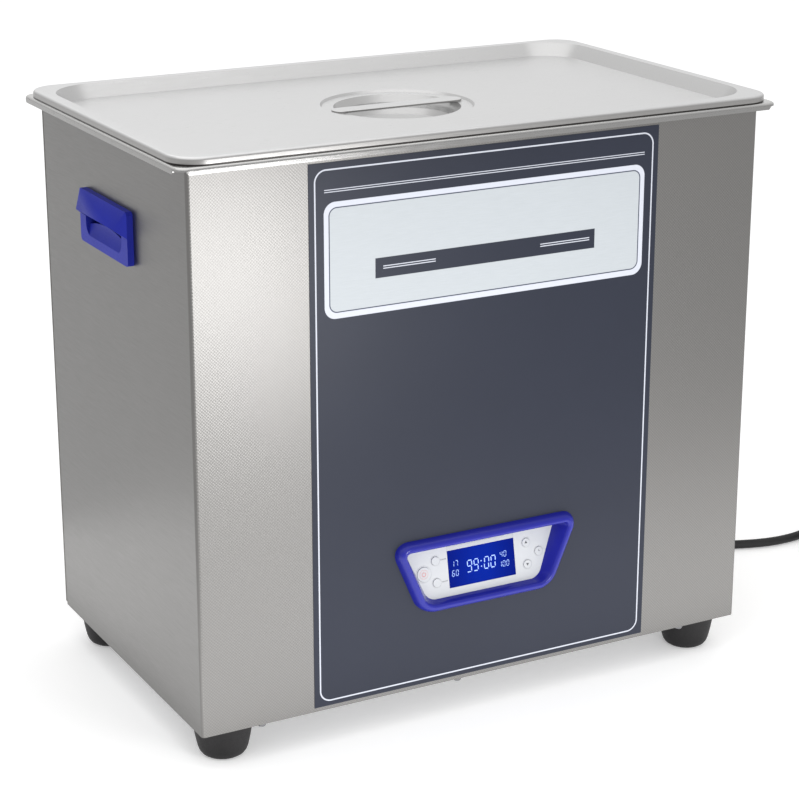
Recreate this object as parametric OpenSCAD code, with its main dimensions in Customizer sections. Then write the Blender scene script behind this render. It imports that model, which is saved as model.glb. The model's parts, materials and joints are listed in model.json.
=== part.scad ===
// Bench-top ultrasonic cleaner: a heated tank with bonded transducers in a sheet-steel cabinet.
// The origin is on the floor under the middle of the cabinet, +X to the right, +Y to the rear, +Z up.

/* [Cabinet] */
// Width of the cabinet
body_w = 510; // [490:1:560]
// Depth of the cabinet
body_d = 304; // [294:1:340]
// Height of the cabinet sheets, from the base plate to the tank's rim
body_h = 457; // [447:1:520]
// Thickness of the cabinet sheet
sheet_t = 1.2; // [0.8:0.1:1.6]
// Outside radius of the cabinet's upright bends
bend_r = 3; // [2:0.5:6]
// Width of the folds along the bottom and rear edges
fold_w = 16; // [12:1:24]
// Shank diameter of the cabinet screws
screw_d = 4; // [3:0.5:4.5]

/* [Base and feet] */
// Height of a rubber foot
foot_h = 30; // [24:1:45]
// Diameter of a foot where it meets the base
foot_top_d = 46; // [42:1:56]
// Diameter of a foot near the floor
foot_low_d = 41; // [28:1:42]
// Radius of the foot's rounded lower edge
foot_edge_r = 8; // [4:0.5:9]
// Distance from the cabinet's side to a foot's centre
foot_in_x = 30; // [28:1:60]
// Distance from the cabinet's front to a foot's centre
foot_in_y = 29; // [28:1:50]
// Thickness of the base plate
base_t = 1.2; // [0.8:0.1:2]
// How far the base plate stays inside the cabinet's outline
base_in = 3; // [1:0.5:5]

/* [Tank] */
// Overhang of the tank's rim outside the cabinet
rim_over = 12; // [8:1:18]
// Corner radius of the rim
rim_r = 10; // [10:1:20]
// Height of the rim's turned-down lip
rim_lip = 5.5; // [5:0.5:12]
// Thickness of the tank's sheet
tank_t = 1.2; // [0.8:0.1:2]
// Distance from the cabinet's side to the tank's mouth
mouth_in = 4; // [4:0.5:8]
// Depth of the step that takes the lid's well
mouth_step = 16; // [14:1:24]
// Distance from the cabinet's side to the tank's inner wall
tank_in = 15; // [14:1:22]
// Depth of the tank under its rim
tank_depth = 280; // [250:1:300]
// Radius of the tank's upright corners
tank_r = 45; // [35:1:60]
// Radius between the tank's walls and its floor
tank_fillet = 20; // [10:1:24]

/* [Lid] */
// Gap between the lid's edge and the rim's edge, seen from above
lid_in = 2; // [1:0.5:5]
// Corner radius of the lid
lid_r = 24; // [18:1:30]
// Thickness of the lid's sheet
lid_t = 1; // [0.8:0.1:1.5]
// Height of the lid's flat border over the rim
lid_edge_h = 6.3; // [5:0.1:9]
// Width of the sloped wall round the lid's well
lid_slope = 8; // [6:0.5:10]
// Depth of the lid's well
lid_well = 11; // [8:0.5:12]
// Corner radius of the well's floor
well_r = 34; // [28:1:45]
// Diameter of the pressed hand dish
dish_d = 128; // [110:1:150]
// Depth of the hand dish under the well's floor
dish_depth = 19; // [16:0.5:26]
// Width of the ledge that carries the grip strip
ledge_w = 9.5; // [8:0.5:12]
// Width of the grip strip
grip_w = 16; // [12:1:22]
// Thickness of the grip strip
grip_t = 2; // [1.5:0.5:3]

/* [Control unit] */
// Height of the control unit's centre over the cabinet's lower edge
unit_z = 98.5; // [90:0.5:110]
// Width of the bezel along its upper edge, before its corners are rounded
bezel_top_w = 179; // [170:1:200]
// Width of the bezel along its lower edge, before its corners are rounded
bezel_low_w = 124; // [120:1:150]
// Height of the bezel
bezel_h = 65; // [63:1:80]
// How far the bezel's ridge stands out of the front
bezel_proud = 8; // [6:0.5:12]
// Width of the bezel over and under the fascia
bezel_band = 8.2; // [8:0.1:9]
// Width of the bezel at either side of the fascia
bezel_side = 11.5; // [10.5:0.1:11.8]
// How far the fascia's centre lies behind the front
fascia_in = 5.7; // [5:0.1:7]
// Backward lean of the fascia
fascia_tilt = 10.5; // [0:0.5:12]
// Thickness of the fascia
fascia_t = 2; // [1.5:0.1:3]
// Width of the display window
lcd_w = 63; // [50:1:66]
// Height of the display window
lcd_h = 34.5; // [26:0.5:35]
// Diameter of a small key
key_d = 7; // [6:0.5:8]
// Diameter of the power key
power_key_d = 12; // [10:0.5:12.5]
// Distance from the middle to the inner keys
key_in_x = 43; // [41:0.5:44]
// Distance from the middle to the outer keys
key_out_x = 54.5; // [53.5:0.5:55]
// Distance of the inner keys over and under the middle
key_y = 9.2; // [8:0.1:11]
// How far the middle of the keys lies under the middle of the display
keys_low = 1.3; // [0:0.1:2]
// Travel of a key
key_travel = 0.4; // [0.2:0.1:0.5]
// Width of the front's printed sheet
overlay_w = 314; // [280:1:340]
// Thickness of the front's printed sheet
overlay_t = 0.4; // [0.2:0.1:0.6]
// Distance of the printed sheet from the cabinet's lower edge
overlay_low = 3.5; // [2:0.5:10]
// Distance of the printed sheet from the cabinet's upper edge
overlay_top = 9; // [8:0.5:14]

/* [Side handles] */
// Length of a handle's frame
handle_l = 101; // [92:1:120]
// Height of a handle's frame
handle_h = 43.5; // [42:0.5:52]
// Thickness of a handle's frame
handle_t = 5.2; // [4:0.1:7]
// How far the hood stands out of the cabinet
hood_proud = 13; // [11:0.5:18]
// Height of the hood
hood_h = 15; // [13:0.5:17]
// Height of the gap between the hood and the sill
finger_gap = 8; // [7:0.5:10]
// Wall of the hood and of the finger pocket
handle_wall = 1.6; // [1.2:0.1:2.4]
// Depth of the finger pocket behind the cabinet's outside
pocket_in = 10; // [8:0.5:10.5]
// Distance from the cabinet's top edge down to the middle of a handle
handle_down = 78.5; // [73:0.5:100]
// Distance of a handle's centre behind the middle of the cabinet's side
handle_back = 5.5; // [0:0.5:10]

/* [Transducers] */
// Number of transducers along the tank
horn_cols = 5; // [3:1:5]
// Distance between transducers along the tank
horn_pitch = 78; // [64:1:80]
// Distance of the two rows from the tank's middle
horn_y = 65; // [60:1:80]
// How far the rows are set to the left of the middle
horn_shift = 12; // [10:1:16]
// Diameter of a horn against the tank
horn_d = 58; // [50:1:60]
// Height of a horn
horn_h = 32; // [24:1:36]
// Diameter of the piezo rings
ring_d = 38; // [35:1:42]
// Height of a steel tail mass
tail_h = 20; // [14:1:24]

/* [Drain] */
// Height of the drain valve over the cabinet's lower edge
drain_z = 134; // [126:1:140]
// Distance of the drain outlet from the tank's right wall
drain_in = 37; // [36:1:40]
// Outside diameter of the drain pipe
drain_d = 22; // [18:1:24]
// Bore of the drain pipe
drain_bore = 14; // [10:1:15]
// Diameter of the valve's ball
ball_d = 24; // [21:0.5:26]
// Length of the valve's lever
lever_l = 72; // [60:1:90]
// Diameter of the hose tail's plain end
tail_d = 14; // [12:0.5:16]

/* [Rear] */
// Size of the cooling fan's square frame
fan_size = 80; // [70:1:92]
// Depth of the cooling fan
fan_depth = 25; // [20:1:32]
// Distance of the fan's centre to the left of the middle
fan_x = 130; // [110:1:150]
// Height of the fan's centre over the cabinet's lower edge
fan_z = 92; // [80:1:100]
// Number of fan blades
blade_count = 7; // [5:1:9]
// Distance of the mains inlet to the right of the middle
inlet_x = 150; // [140:1:170]
// Height of the mains inlet and switch over the cabinet's lower edge
inlet_z = 64; // [56:1:80]
// Distance of the mains switch from the inlet
switch_gap = 52; // [48:1:70]
// Tilt of the rocker at each end of its throw
rocker_tilt = 8; // [5:1:10]

/* [Generator] */
// Length of the generator board
board_l = 220; // [200:1:240]
// Depth of the generator board
board_w = 110; // [100:1:116]
// Height of the board's spacers
spacer_h = 12; // [8:1:20]
// Number of fins on the heat sink
fin_count = 9; // [6:1:12]

/* [Mains lead] */
// Diameter of the mains lead
cord_d = 8.4; // [7:0.1:8.5]

/* [Hidden] */
$fn = 48;
eps = 0.01;
// Clearance between pieces that are assembled with play
play = 0.2;
// Clearance between a shaft and its bore
run_play = 0.05;

// Levels and faces
body_z = foot_h + base_t;
body_top = body_z + body_h;
rim_z = body_top + tank_t;
front_y = -body_d / 2;
rear_y = body_d / 2;
side_x = body_w / 2;
inside_x = side_x - sheet_t;
lid_top = rim_z + lid_edge_h;

// Tank
rim_w = body_w + 2 * rim_over;
rim_d = body_d + 2 * rim_over;
rim_bend_r = 2.5;
rim_notch = 2.4;
rim_relief = 8;
relief_top = rim_z - rim_bend_r - 0.4;
mouth_w = body_w - 2 * mouth_in;
mouth_d = body_d - 2 * mouth_in;
mouth_r = 30;
tank_w = body_w - 2 * tank_in;
tank_d = body_d - 2 * tank_in;
step_z = rim_z - mouth_step;
floor_z = rim_z - tank_depth;
under_z = floor_z - tank_t;
fillet_land = 5;

// Lid
lid_w = rim_w - 2 * lid_in;
lid_d = rim_d - 2 * lid_in;
lid_bend_r = 2.5;
lid_land = 6;
well_play = 0.4;
// The well clears the mouth where its sloped wall passes the rim, to a tenth of a millimetre
well_flare = floor(10 * (lid_slope * (lid_edge_h - lid_t) / lid_well - well_play)) / 10;
well_w = mouth_w + 2 * well_flare;
well_d = mouth_d + 2 * well_flare;
well_top_r = well_r + lid_slope;
well_z = lid_top - lid_well;
ledge_h = grip_t;
ledge_edge = 1.5;
dish_low_r = dish_d / 2 - 28;
grip_l = dish_d - 2 * ledge_edge - 5;

// Control unit
fascia_y = front_y + fascia_in;
fascia_z = body_z + unit_z;
bezel_round_top = 11.5;
bezel_round_low = 20;
// Steps of the bezel's ridge, each as the way in from its edge and a share of its height
ridge = [[0, 0.12], [1.1, 0.52], [2.9, 0.86], [5, 1]];
ridge_lip = 6.6;
window_in = 4.2;
skirt_wall = 2;
skirt_in = 15;
skirt_out = fascia_in + bezel_h * sin(fascia_tilt);
seat_step = 1;
key_flange = 1;
key_flange_t = 1;
key_proud = 0.6;
key_l = 4.2;
tact_gap = key_travel + 0.2;
pcb_t = 1.6;
pcb_z = -fascia_t - 6;
post_d = 6;
post_hole_d = 2.4;
post_by_lcd = 1;
post_x = lcd_w / 2 + post_by_lcd;
post_y = lcd_h / 2 + post_by_lcd;
posts = [[-post_x, post_y], [post_x, post_y], [-post_x, -post_y], [post_x, -post_y]];
high_y = key_y - keys_low;
low_y = -key_y - keys_low;
keys = [[-key_out_x, -keys_low], [-key_in_x, high_y], [-key_in_x, low_y], [key_in_x, high_y],
        [key_in_x, low_y], [key_out_x, -keys_low]];

// Side handles
handle_r = 3.5;
hood_mitre = 11.5;
hood_end_drop = 6;
pocket_l = handle_l - 25;
pocket_top = handle_h / 2 - 4;
hood_low = handle_h / 2 - hood_h;
arch_top = hood_low - finger_gap;
arch_drop = 5;
pocket_low = arch_top - arch_drop;
scoop_h = 13;
scoop_in = 3.8;
scoop_r = (scoop_h * scoop_h + scoop_in * scoop_in) / (2 * scoop_in);
scoop_low = arch_top - scoop_h;
scoop_z = handle_t - scoop_in + scoop_r;
scoop_corner = 9;

// Transducers and heaters
electrode_t = 0.4;
ring_t = 5;
ring_bore = 16;
bolt_d = 10;
bolt_head = 17;
bolt_head_h = 8;
horn_low_r = ring_d / 2 + 1;
ring_top_z = under_z - horn_h;
tail_top_z = ring_top_z - 2 * ring_t - 2 * electrode_t;
tail_low_z = tail_top_z - tail_h;
heater_l = 320;
heater_h = 110;
heater_t = 2;
sensor_d = 18;
sensor_h = 10;

// Drain
drain_x = tank_w / 2 - drain_in;
valve_z = body_z + drain_z;
spud_d = drain_d - 1;
spud_flange_d = 33;
spud_flange_t = 2;
spud_low = valve_z + 14;
drain_nut_d = 30;
drain_nut_h = 9;
elbow_d = spud_d + 6;
elbow_top = valve_z + 26;
elbow_end = side_x + 16;
valve_start = side_x + 4;
valve_half = 29;
valve_x = valve_start + valve_half;
valve_hex = 32;
housing_d = ball_d + 10;
stem_d = 9;
gland_d = 18;
gland_top = valve_z + housing_d / 2 + 8;
lever_t = 3;
lever_w = 14;
stem_top = gland_top + lever_t + 7;
stem_nut_h = 5;
tail_start = valve_x + ball_d / 2 + 4;
tail_hex_x = valve_x + valve_half;
tail_end = tail_hex_x + 40;
tail_plain = 14;

// Rear
fan_hole_pitch = fan_size - 8.5;
fan_bore_d = fan_size - 4;
fan_centre_z = body_z + fan_z;
fan_hole_d = 4.3;
fan_wall = 3;
fan_shaft_d = 4;
hub_d = 34;
hub_l = fan_depth - 7;
boss_d = 20;
blade_t = 1.6;
blade_pitch = 38;
guard_wire = 2.4;
guard_stand = 3;
guard_rings = [11, 20, 29];
eyelet_d = 2 * screw_d + 1.6;
eyelet_t = 1.5;
guard_bar_l = sqrt(2) * fan_hole_pitch - 2 * screw_d - 0.6;
fan_screw_l = 22;
mains_z = body_z + inlet_z;
inlet_flange = [33, 26, 2.5];
inlet_body = [28, 20.5, 26];
inlet_cavity = [24.6, 17, 17];
pin_pitch = 7;
pin_rise = 2;
pin_size = [2, 4, 13];
inlet_tab = [0.8, 6, 10];
inlet_tab_out = 4;
switch_x = inlet_x - switch_gap;
switch_flange = [31, 29, 2];
switch_body = [28, 26, 16];
rocker_r = 11.3;
rocker_l = 22.6;
trunnion_d = 3;

// Generator
board_z = body_z + spacer_h;
board_x = -40;
board_y = 10;
board_t = 1.6;
board_hole_in = 6;
spacer_af = 7;
board_screw_d = 3;
sink_x = board_x - 50;
sink_l = 90;
sink_w = 46;
sink_h = 40;
sink_base = 6;
fin_t = 2;
toroid_x = board_x + 42;
toroid_y = board_y + 14;
toroid_d = 62;
toroid_h = 28;
toroid_hole = 24;
cap_d = 25;
cap_h = 42;
cap_pitch = 30;
cap_x = board_x + 10;
cap_y = board_y - board_w / 2 + cap_d / 2 + 4;

// Screws
screw_l = base_t + 3 * sheet_t;
foot_screw_d = 5;
foot_recess_d = 16;
foot_recess_h = foot_h - 10;
foot_nut_af = 9;
foot_nut_h = 4;
foot_x = side_x - foot_in_x;
foot_y = rear_y - foot_in_y;
vent_x = 170;
vent_y = -70;
vent_pitch = 16;
vent_count = 5;
vent_l = 70;
vent_w = 5;
base_screw_in = 6;
screw_by_foot = 24;
base_front_x = foot_x - screw_by_foot;
base_middle_x = -22;
base_fold_y = rear_y - base_screw_in;
base_fold_x = side_x - base_screw_in;
base_side_y = foot_y - screw_by_foot;
rear_screw_x = side_x - fold_w / 2;
rear_screw_in = 40;

// Mains connector, lead, coil and plug
connector_nose = [24, 16.4, 15];
connector_body = [28, 21];
connector_l = 24;
connector_reach = 62;
relief_l = connector_reach - inlet_flange.z - connector_l;
relief_d = cord_d + 5;
lead_r = cord_d / 2;
lead_sides = 10;
lead_route = [[150, 214, 95.2], [150, 223, 95.2], [150, 240, 92], [152, 258, 83], [156, 275, 68],
    [163, 290, 50], [173, 303, 32], [187, 313, 17], [204, 318, 8], [223, 317, 4.5], [242, 310, 4.3],
    [259, 298, 4.3], [273, 282, 4.3], [284, 263, 4.3], [292, 242, 4.3], [298, 220, 4.3], [302, 198, 4.3],
    [305, 176, 4.3], [308, 154, 4.3], [313, 132, 4.3], [321, 110, 4.3], [332, 89, 4.3], [347, 69, 4.3],
    [364, 53, 4.3], [384, 41, 4.3], [405, 32, 4.3], [426, 26, 4.3], [448, 24, 4.3], [470, 26, 4.6],
    [489, 30.5, 5.2], [502, 33, 5.6], [511, 33, 5.6]];
coil_centre = [520, -18];
coil_r = 51;
coil_turns = 3.25;
coil_climb = 0.5;
coil_low = 5.6;
coil_play = 0.6;
coil_pitch = cord_d + coil_play;
coil_steps = 24;
coil_sides = 6;
coil_turn_back = coil_turns / 2;
plug_d = 36;
plug_run = [[571, -26, 14.8], [571, -44, 16], [571, -62, 17.4], [571, -74, 18.2], [571, -83, 18.2]];
plug_at = plug_run[len(plug_run) - 1];
plug_relief_l = 28;
plug_body_l = 34;
plug_pin_d = 4.8;
plug_pin_l = 19;
plug_pin_pitch = 19;
tie_w = 7;
tie_t = 1;
tie_play = 0.35;

// Flat shapes

// Rounded rectangle centred on the origin
module rrect(w, d, r) {
    translate([-w / 2 + r, -d / 2]) square([w - 2 * r, d]);
    translate([-w / 2, -d / 2 + r]) square([w, d - 2 * r]);
    for (x = [-1, 1], y = [-1, 1]) translate([x * (w / 2 - r), y * (d / 2 - r)]) circle(r);
}

// Slot centred on the origin, with round ends
module slot(l, w) {
    square([l - w, w], center = true);
    for (x = [-1, 1]) translate([x * (l - w) / 2, 0]) circle(w / 2);
}

// Quarter of a sheet's bend, from direction a to a + 90 degrees
module quarter_bend(r_out, r_in, a) {
    rotate(a) intersection() {
        difference() {
            circle(r_out);
            circle(r_in);
        }
        square(r_out + 1);
    }
}

// Points of a convex outline with rounded corners, each corner given as [x, y, radius]
function rounded(c, n = 6) = [for (i = [0:len(c) - 1])
    let (p = c[(i + len(c) - 1) % len(c)], q = c[i], s = c[(i + 1) % len(c)],
        d0 = atan2(q.y - p.y, q.x - p.x), d1 = atan2(s.y - q.y, s.x - q.x),
        turn = ((d1 - d0) % 360 + 360) % 360, reach = q[2] / cos(turn / 2), m = d0 + turn / 2 + 90)
    for (k = [0:n]) let (a = d0 - 90 + turn * k / n)
        [q.x + reach * cos(m) + q[2] * cos(a), q.y + reach * sin(m) + q[2] * sin(a)]];

// The bezel's outline, grown on every side and drawn in at its two sides, as corners for rounded()
function bezel_corners(grow, side_in) =
    let (lean = atan2((bezel_top_w - bezel_low_w) / 2, bezel_h), side = (grow - side_in) / cos(lean),
        low = bezel_low_w / 2 - grow * tan(lean) + side, top = bezel_top_w / 2 + grow * tan(lean) + side,
        h = bezel_h / 2 + grow, rl = max(1, bezel_round_low + grow), rt = max(1, bezel_round_top + grow))
    [[-low, -h, rl], [low, -h, rl], [top, h, rt], [-top, h, rt]];

module bezel_outline(grow = 0, side_in = 0) polygon(rounded(bezel_corners(grow, side_in)));

// Solid helpers

// A section swept round a rounded rectangle, where the section's x runs from the corner's centre
module rect_sweep(w, d, r) {
    for (i = [0:3]) {
        across = (i % 2 == 0 ? w : d) / 2 - r;
        along = (i % 2 == 0 ? d : w) - 2 * r;
        rotate(90 * i) translate([across, along / 2, 0]) {
            rotate([90, 0, 0]) linear_extrude(along) children();
            rotate_extrude(angle = 90) children();
        }
    }
}

// Stands a flat shape on the front, rear or fascia, with its height running outwards
module on_front() translate([0, front_y, 0]) rotate([90, 0, 0]) children();
module on_rear() translate([0, rear_y, 0]) rotate([90, 0, 180]) children();
module on_fascia() translate([0, fascia_y, fascia_z]) rotate([90 - fascia_tilt, 0, 0]) children();
module on_side(s) translate([s * side_x, handle_back, body_top - handle_down])
    rotate([90, 0, s * 90]) children();

// Pan head at the origin with its shank going down
module pan_screw(d, l) {
    cylinder(h = 0.6 * d, r1 = d, r2 = 0.75 * d);
    translate([0, 0, -l]) cylinder(h = l + eps, d = d);
}

// Places that repeat

module at_feet() for (x = [-1, 1], y = [-1, 1]) translate([x * foot_x, y * foot_y, 0]) children();

module at_base_screws() {
    for (x = [-base_front_x, base_middle_x, base_front_x]) translate([x, -base_fold_y, 0]) children();
    for (x = [-1, 1], y = [-1, 1]) translate([x * base_fold_x, y * base_side_y, 0]) children();
}

// On the rear, x runs to the left and y is the height over the floor
module at_rear_screws() {
    for (x = [-1, 1], h = [rear_screw_in, body_h / 2, body_h - rear_screw_in])
        translate([x * rear_screw_x, body_z + h, 0]) children();
}

module at_fan_holes() for (x = [-1, 1], y = [-1, 1])
    translate([fan_x + x * fan_hole_pitch / 2, fan_centre_z + y * fan_hole_pitch / 2, 0]) children();

module at_horns() for (i = [0:horn_cols - 1], y = [-1, 1])
    translate([(i - (horn_cols - 1) / 2) * horn_pitch - horn_shift, y * horn_y, 0]) children();

module at_board_holes() for (x = [-1, 1], y = [-1, 1])
    translate([board_x + x * (board_l / 2 - board_hole_in), board_y + y * (board_w / 2 - board_hole_in), 0])
        children();

// Cabinet

module wrap_section() difference() {
    rrect(body_w, body_d - sheet_t, bend_r);
    rrect(body_w - 2 * sheet_t, body_d - 3 * sheet_t, bend_r - sheet_t);
    translate([-(side_x - fold_w), 0]) square([body_w - 2 * fold_w, body_d]);
}

module cabinet_wrap() color("silver") difference() {
    union() {
        translate([0, -sheet_t / 2, body_z]) linear_extrude(body_h) wrap_section();
        translate([-(side_x - bend_r), front_y + sheet_t, body_z])
            cube([body_w - 2 * bend_r, fold_w, sheet_t]);
        for (s = [-1, 1]) translate([s * (inside_x - fold_w / 2), 0, body_z + sheet_t / 2])
            cube([fold_w, body_d - 2 * fold_w - 8 * sheet_t, sheet_t], center = true);
    }
    on_front() translate([0, fascia_z, -skirt_in]) linear_extrude(2 * skirt_in) bezel_outline(-window_in);
    for (s = [-1, 1]) on_side(s) translate([0, 0, -3 * sheet_t])
        linear_extrude(6 * sheet_t) pocket_box(play);
    translate([side_x, 0, valve_z]) rotate([0, 90, 0])
        cylinder(h = 6 * sheet_t, d = drain_d + 2 * play, center = true);
    at_base_screws() translate([0, 0, body_z - sheet_t]) cylinder(h = 3 * sheet_t, d = screw_d + play);
    on_rear() at_rear_screws() translate([0, 0, -3 * sheet_t])
        cylinder(h = 4 * sheet_t, d = screw_d + play);
}

module rear_panel() color("silver") on_rear() translate([0, 0, -sheet_t]) linear_extrude(sheet_t)
    difference() {
        translate([0, body_z + body_h / 2]) rrect(body_w - 2 * play, body_h - 2 * play, bend_r);
        translate([fan_x, fan_centre_z]) circle(d = fan_bore_d);
        at_fan_holes() circle(d = fan_hole_d);
        at_rear_screws() circle(d = screw_d + play);
        translate([-inlet_x, mains_z]) square([inlet_body.x + play, inlet_body.y + play], center = true);
        translate([-switch_x, mains_z]) square([switch_body.x + play, switch_body.y + play], center = true);
    }

module base_plate() color("dimgray") translate([0, 0, foot_h]) linear_extrude(base_t) difference() {
    rrect(body_w - 2 * base_in, body_d - 2 * base_in, bend_r);
    at_feet() circle(d = foot_screw_d + play);
    at_base_screws() circle(d = screw_d + play);
    at_board_holes() circle(d = board_screw_d + play);
    for (x = [-1, 1], i = [0:vent_count - 1]) translate([x * vent_x, vent_y + vent_pitch * i])
        slot(vent_l, vent_w);
}

module cabinet_screws() color("gainsboro") {
    at_base_screws() translate([0, 0, foot_h]) rotate([180, 0, 0]) pan_screw(screw_d, screw_l);
    on_rear() at_rear_screws() pan_screw(screw_d, screw_l);
}

module foot() color("#2c2b2c") difference() {
    rotate_extrude() polygon(concat([[0, 0]],
        [for (a = [-90:15:15]) [foot_low_d / 2 - foot_edge_r * (1 - cos(a)), foot_edge_r * (1 + sin(a))]],
        [[foot_top_d / 2, foot_h], [0, foot_h]]));
    translate([0, 0, -eps]) cylinder(h = foot_recess_h + eps, d = foot_recess_d);
    cylinder(h = foot_h + 1, d = foot_screw_d + play);
}

module foot_front_left() translate([-foot_x, -foot_y, 0]) foot();
module foot_front_right() translate([foot_x, -foot_y, 0]) foot();
module foot_rear_left() translate([-foot_x, foot_y, 0]) foot();
module foot_rear_right() translate([foot_x, foot_y, 0]) foot();

module foot_screws() color("gainsboro") at_feet() translate([0, 0, foot_recess_h]) rotate([180, 0, 0])
    pan_screw(foot_screw_d, foot_h - foot_recess_h + base_t + foot_nut_h + 2);

module foot_nuts() color("gainsboro") at_feet() translate([0, 0, body_z]) difference() {
    cylinder(h = foot_nut_h, d = foot_nut_af / cos(30), $fn = 6);
    translate([0, 0, -1]) cylinder(h = foot_nut_h + 2, d = foot_screw_d + play);
}

// Tank

module rim_section() {
    inner = rim_r - rim_bend_r;
    translate([inner - fillet_land, rim_z - tank_t]) square([fillet_land, tank_t]);
    translate([inner, rim_z - rim_bend_r]) quarter_bend(rim_bend_r, rim_bend_r - tank_t, 0);
    translate([rim_r - tank_t, rim_z - rim_lip]) square([tank_t, rim_lip - rim_bend_r]);
}

module wall_section() {
    inner = tank_r - tank_fillet;
    translate([tank_r, floor_z + tank_fillet])
        square([tank_t, step_z - tank_t - floor_z - tank_fillet]);
    translate([inner, floor_z + tank_fillet]) quarter_bend(tank_fillet + tank_t, tank_fillet, -90);
    translate([inner - fillet_land, under_z]) square([fillet_land, tank_t]);
}

module tank() color("lightgray") difference() {
    union() {
        rect_sweep(rim_w, rim_d, rim_r) rim_section();
        rim_land = rim_bend_r + fillet_land;
        translate([0, 0, rim_z - tank_t]) linear_extrude(tank_t) difference() {
            rrect(rim_w - 2 * rim_land, rim_d - 2 * rim_land, rim_r - rim_land);
            rrect(mouth_w, mouth_d, mouth_r);
        }
        translate([0, 0, step_z]) linear_extrude(mouth_step - tank_t) difference() {
            rrect(mouth_w + 2 * tank_t, mouth_d + 2 * tank_t, mouth_r + tank_t);
            rrect(mouth_w, mouth_d, mouth_r);
        }
        translate([0, 0, step_z - tank_t]) linear_extrude(tank_t) difference() {
            rrect(mouth_w + 2 * tank_t, mouth_d + 2 * tank_t, mouth_r + tank_t);
            rrect(tank_w, tank_d, tank_r);
        }
        rect_sweep(tank_w, tank_d, tank_r) wall_section();
        floor_in = tank_fillet + fillet_land;
        translate([0, 0, under_z]) linear_extrude(tank_t)
            rrect(tank_w - 2 * floor_in, tank_d - 2 * floor_in, tank_r - floor_in);
    }
    for (x = [-1, 1], y = [-1, 1]) {
        lip_low = rim_z - rim_lip;
        relief_x = rim_w / 2 - rim_relief;
        relief_y = rim_d / 2 - rim_relief;
        translate([x * rim_w / 2, y * rim_d / 2, (relief_top + lip_low - 1) / 2])
            cube([2 * rim_relief, 2 * rim_relief, relief_top - lip_low + 1], center = true);
        translate([x * relief_x, y * rim_d / 2, lip_low]) rotate([0, 45, 0])
            cube([rim_notch, 4 * tank_t, rim_notch], center = true);
        translate([x * rim_w / 2, y * relief_y, lip_low]) rotate([45, 0, 0])
            cube([4 * tank_t, rim_notch, rim_notch], center = true);
    }
    translate([drain_x, 0, under_z - 1]) cylinder(h = tank_t + 2, d = spud_d + play);
}

// Lid

module lid_edge_section() {
    inner = lid_r - lid_bend_r;
    translate([lid_r - lid_land, lid_top - lid_t]) square([lid_land - lid_bend_r, lid_t]);
    translate([inner, lid_top - lid_bend_r]) quarter_bend(lid_bend_r, lid_bend_r - lid_t, 0);
    translate([lid_r - lid_t, rim_z]) square([lid_t, lid_edge_h - lid_bend_r]);
}

module well_section() polygon([[well_top_r, lid_top - lid_t], [well_top_r, lid_top], [well_r, well_z],
    [well_r, well_z - lid_t]]);

// Sheet of the hand dish: its upper face, then its lower face back to the edge
module dish_section() {
    r = dish_d / 2;
    wall_r = r - ledge_edge - ledge_w;
    low = dish_depth - 2;
    up = [[r, 0], [r - ledge_edge, -ledge_h], [wall_r, -ledge_h], [dish_low_r + 8, -low],
        [dish_low_r, -dish_depth], [0, -dish_depth]];
    lean = 0.6 * lid_t;
    back = [for (i = [len(up) - 1:-1:0]) [up[i].x - (i > 0 && i < 5 ? lean : 0), up[i].y - lid_t]];
    translate([0, well_z]) polygon(concat(up, back));
}

module lid() color("whitesmoke") {
    rect_sweep(lid_w, lid_d, lid_r) lid_edge_section();
    translate([0, 0, lid_top - lid_t]) linear_extrude(lid_t) difference() {
        rrect(lid_w - 2 * lid_land, lid_d - 2 * lid_land, lid_r - lid_land);
        rrect(well_w, well_d, well_top_r);
    }
    rect_sweep(well_w, well_d, well_top_r) well_section();
    translate([0, 0, well_z - lid_t]) linear_extrude(lid_t) difference() {
        rrect(well_w - 2 * lid_slope, well_d - 2 * lid_slope, well_r);
        circle(d = dish_d);
    }
    rotate_extrude() dish_section();
}

module lid_grip() color("gainsboro") translate([0, 0, well_z - ledge_h]) linear_extrude(grip_t)
    slot(grip_l, grip_w);

// Control unit

module front_overlay() color("#4b4e5c") on_front() linear_extrude(overlay_t) difference() {
    translate([-overlay_w / 2, body_z + overlay_low])
        square([overlay_w, body_h - overlay_low - overlay_top]);
    translate([0, fascia_z]) bezel_outline(-window_in);
}

// The fascia's own outline, with its slope taken from the bezel
module fascia_outline(grow = 0) bezel_outline(grow - bezel_band, bezel_side - bezel_band);

module control_bezel() color("#2d2ba8") difference() {
    union() {
        on_front() translate([0, fascia_z, overlay_t]) hull() for (step = ridge)
            linear_extrude(step[1] * (bezel_proud - overlay_t)) bezel_outline(-step[0]);
        difference() {
            on_fascia() translate([0, 0, -skirt_in]) linear_extrude(skirt_in + skirt_out)
                bezel_outline(skirt_wall - bezel_band);
            on_front() translate([0, fascia_z, overlay_t + bezel_proud / 2])
                linear_extrude(bezel_h) square(2 * bezel_top_w, center = true);
        }
    }
    hull() {
        on_front() translate([0, fascia_z, bezel_proud]) linear_extrude(1) bezel_outline(-ridge_lip);
        on_fascia() translate([0, 0, -eps]) linear_extrude(2 * eps) fascia_outline(-seat_step);
    }
    on_fascia() translate([0, 0, -skirt_in - 1]) linear_extrude(skirt_in + 1) fascia_outline(play);
}

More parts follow.
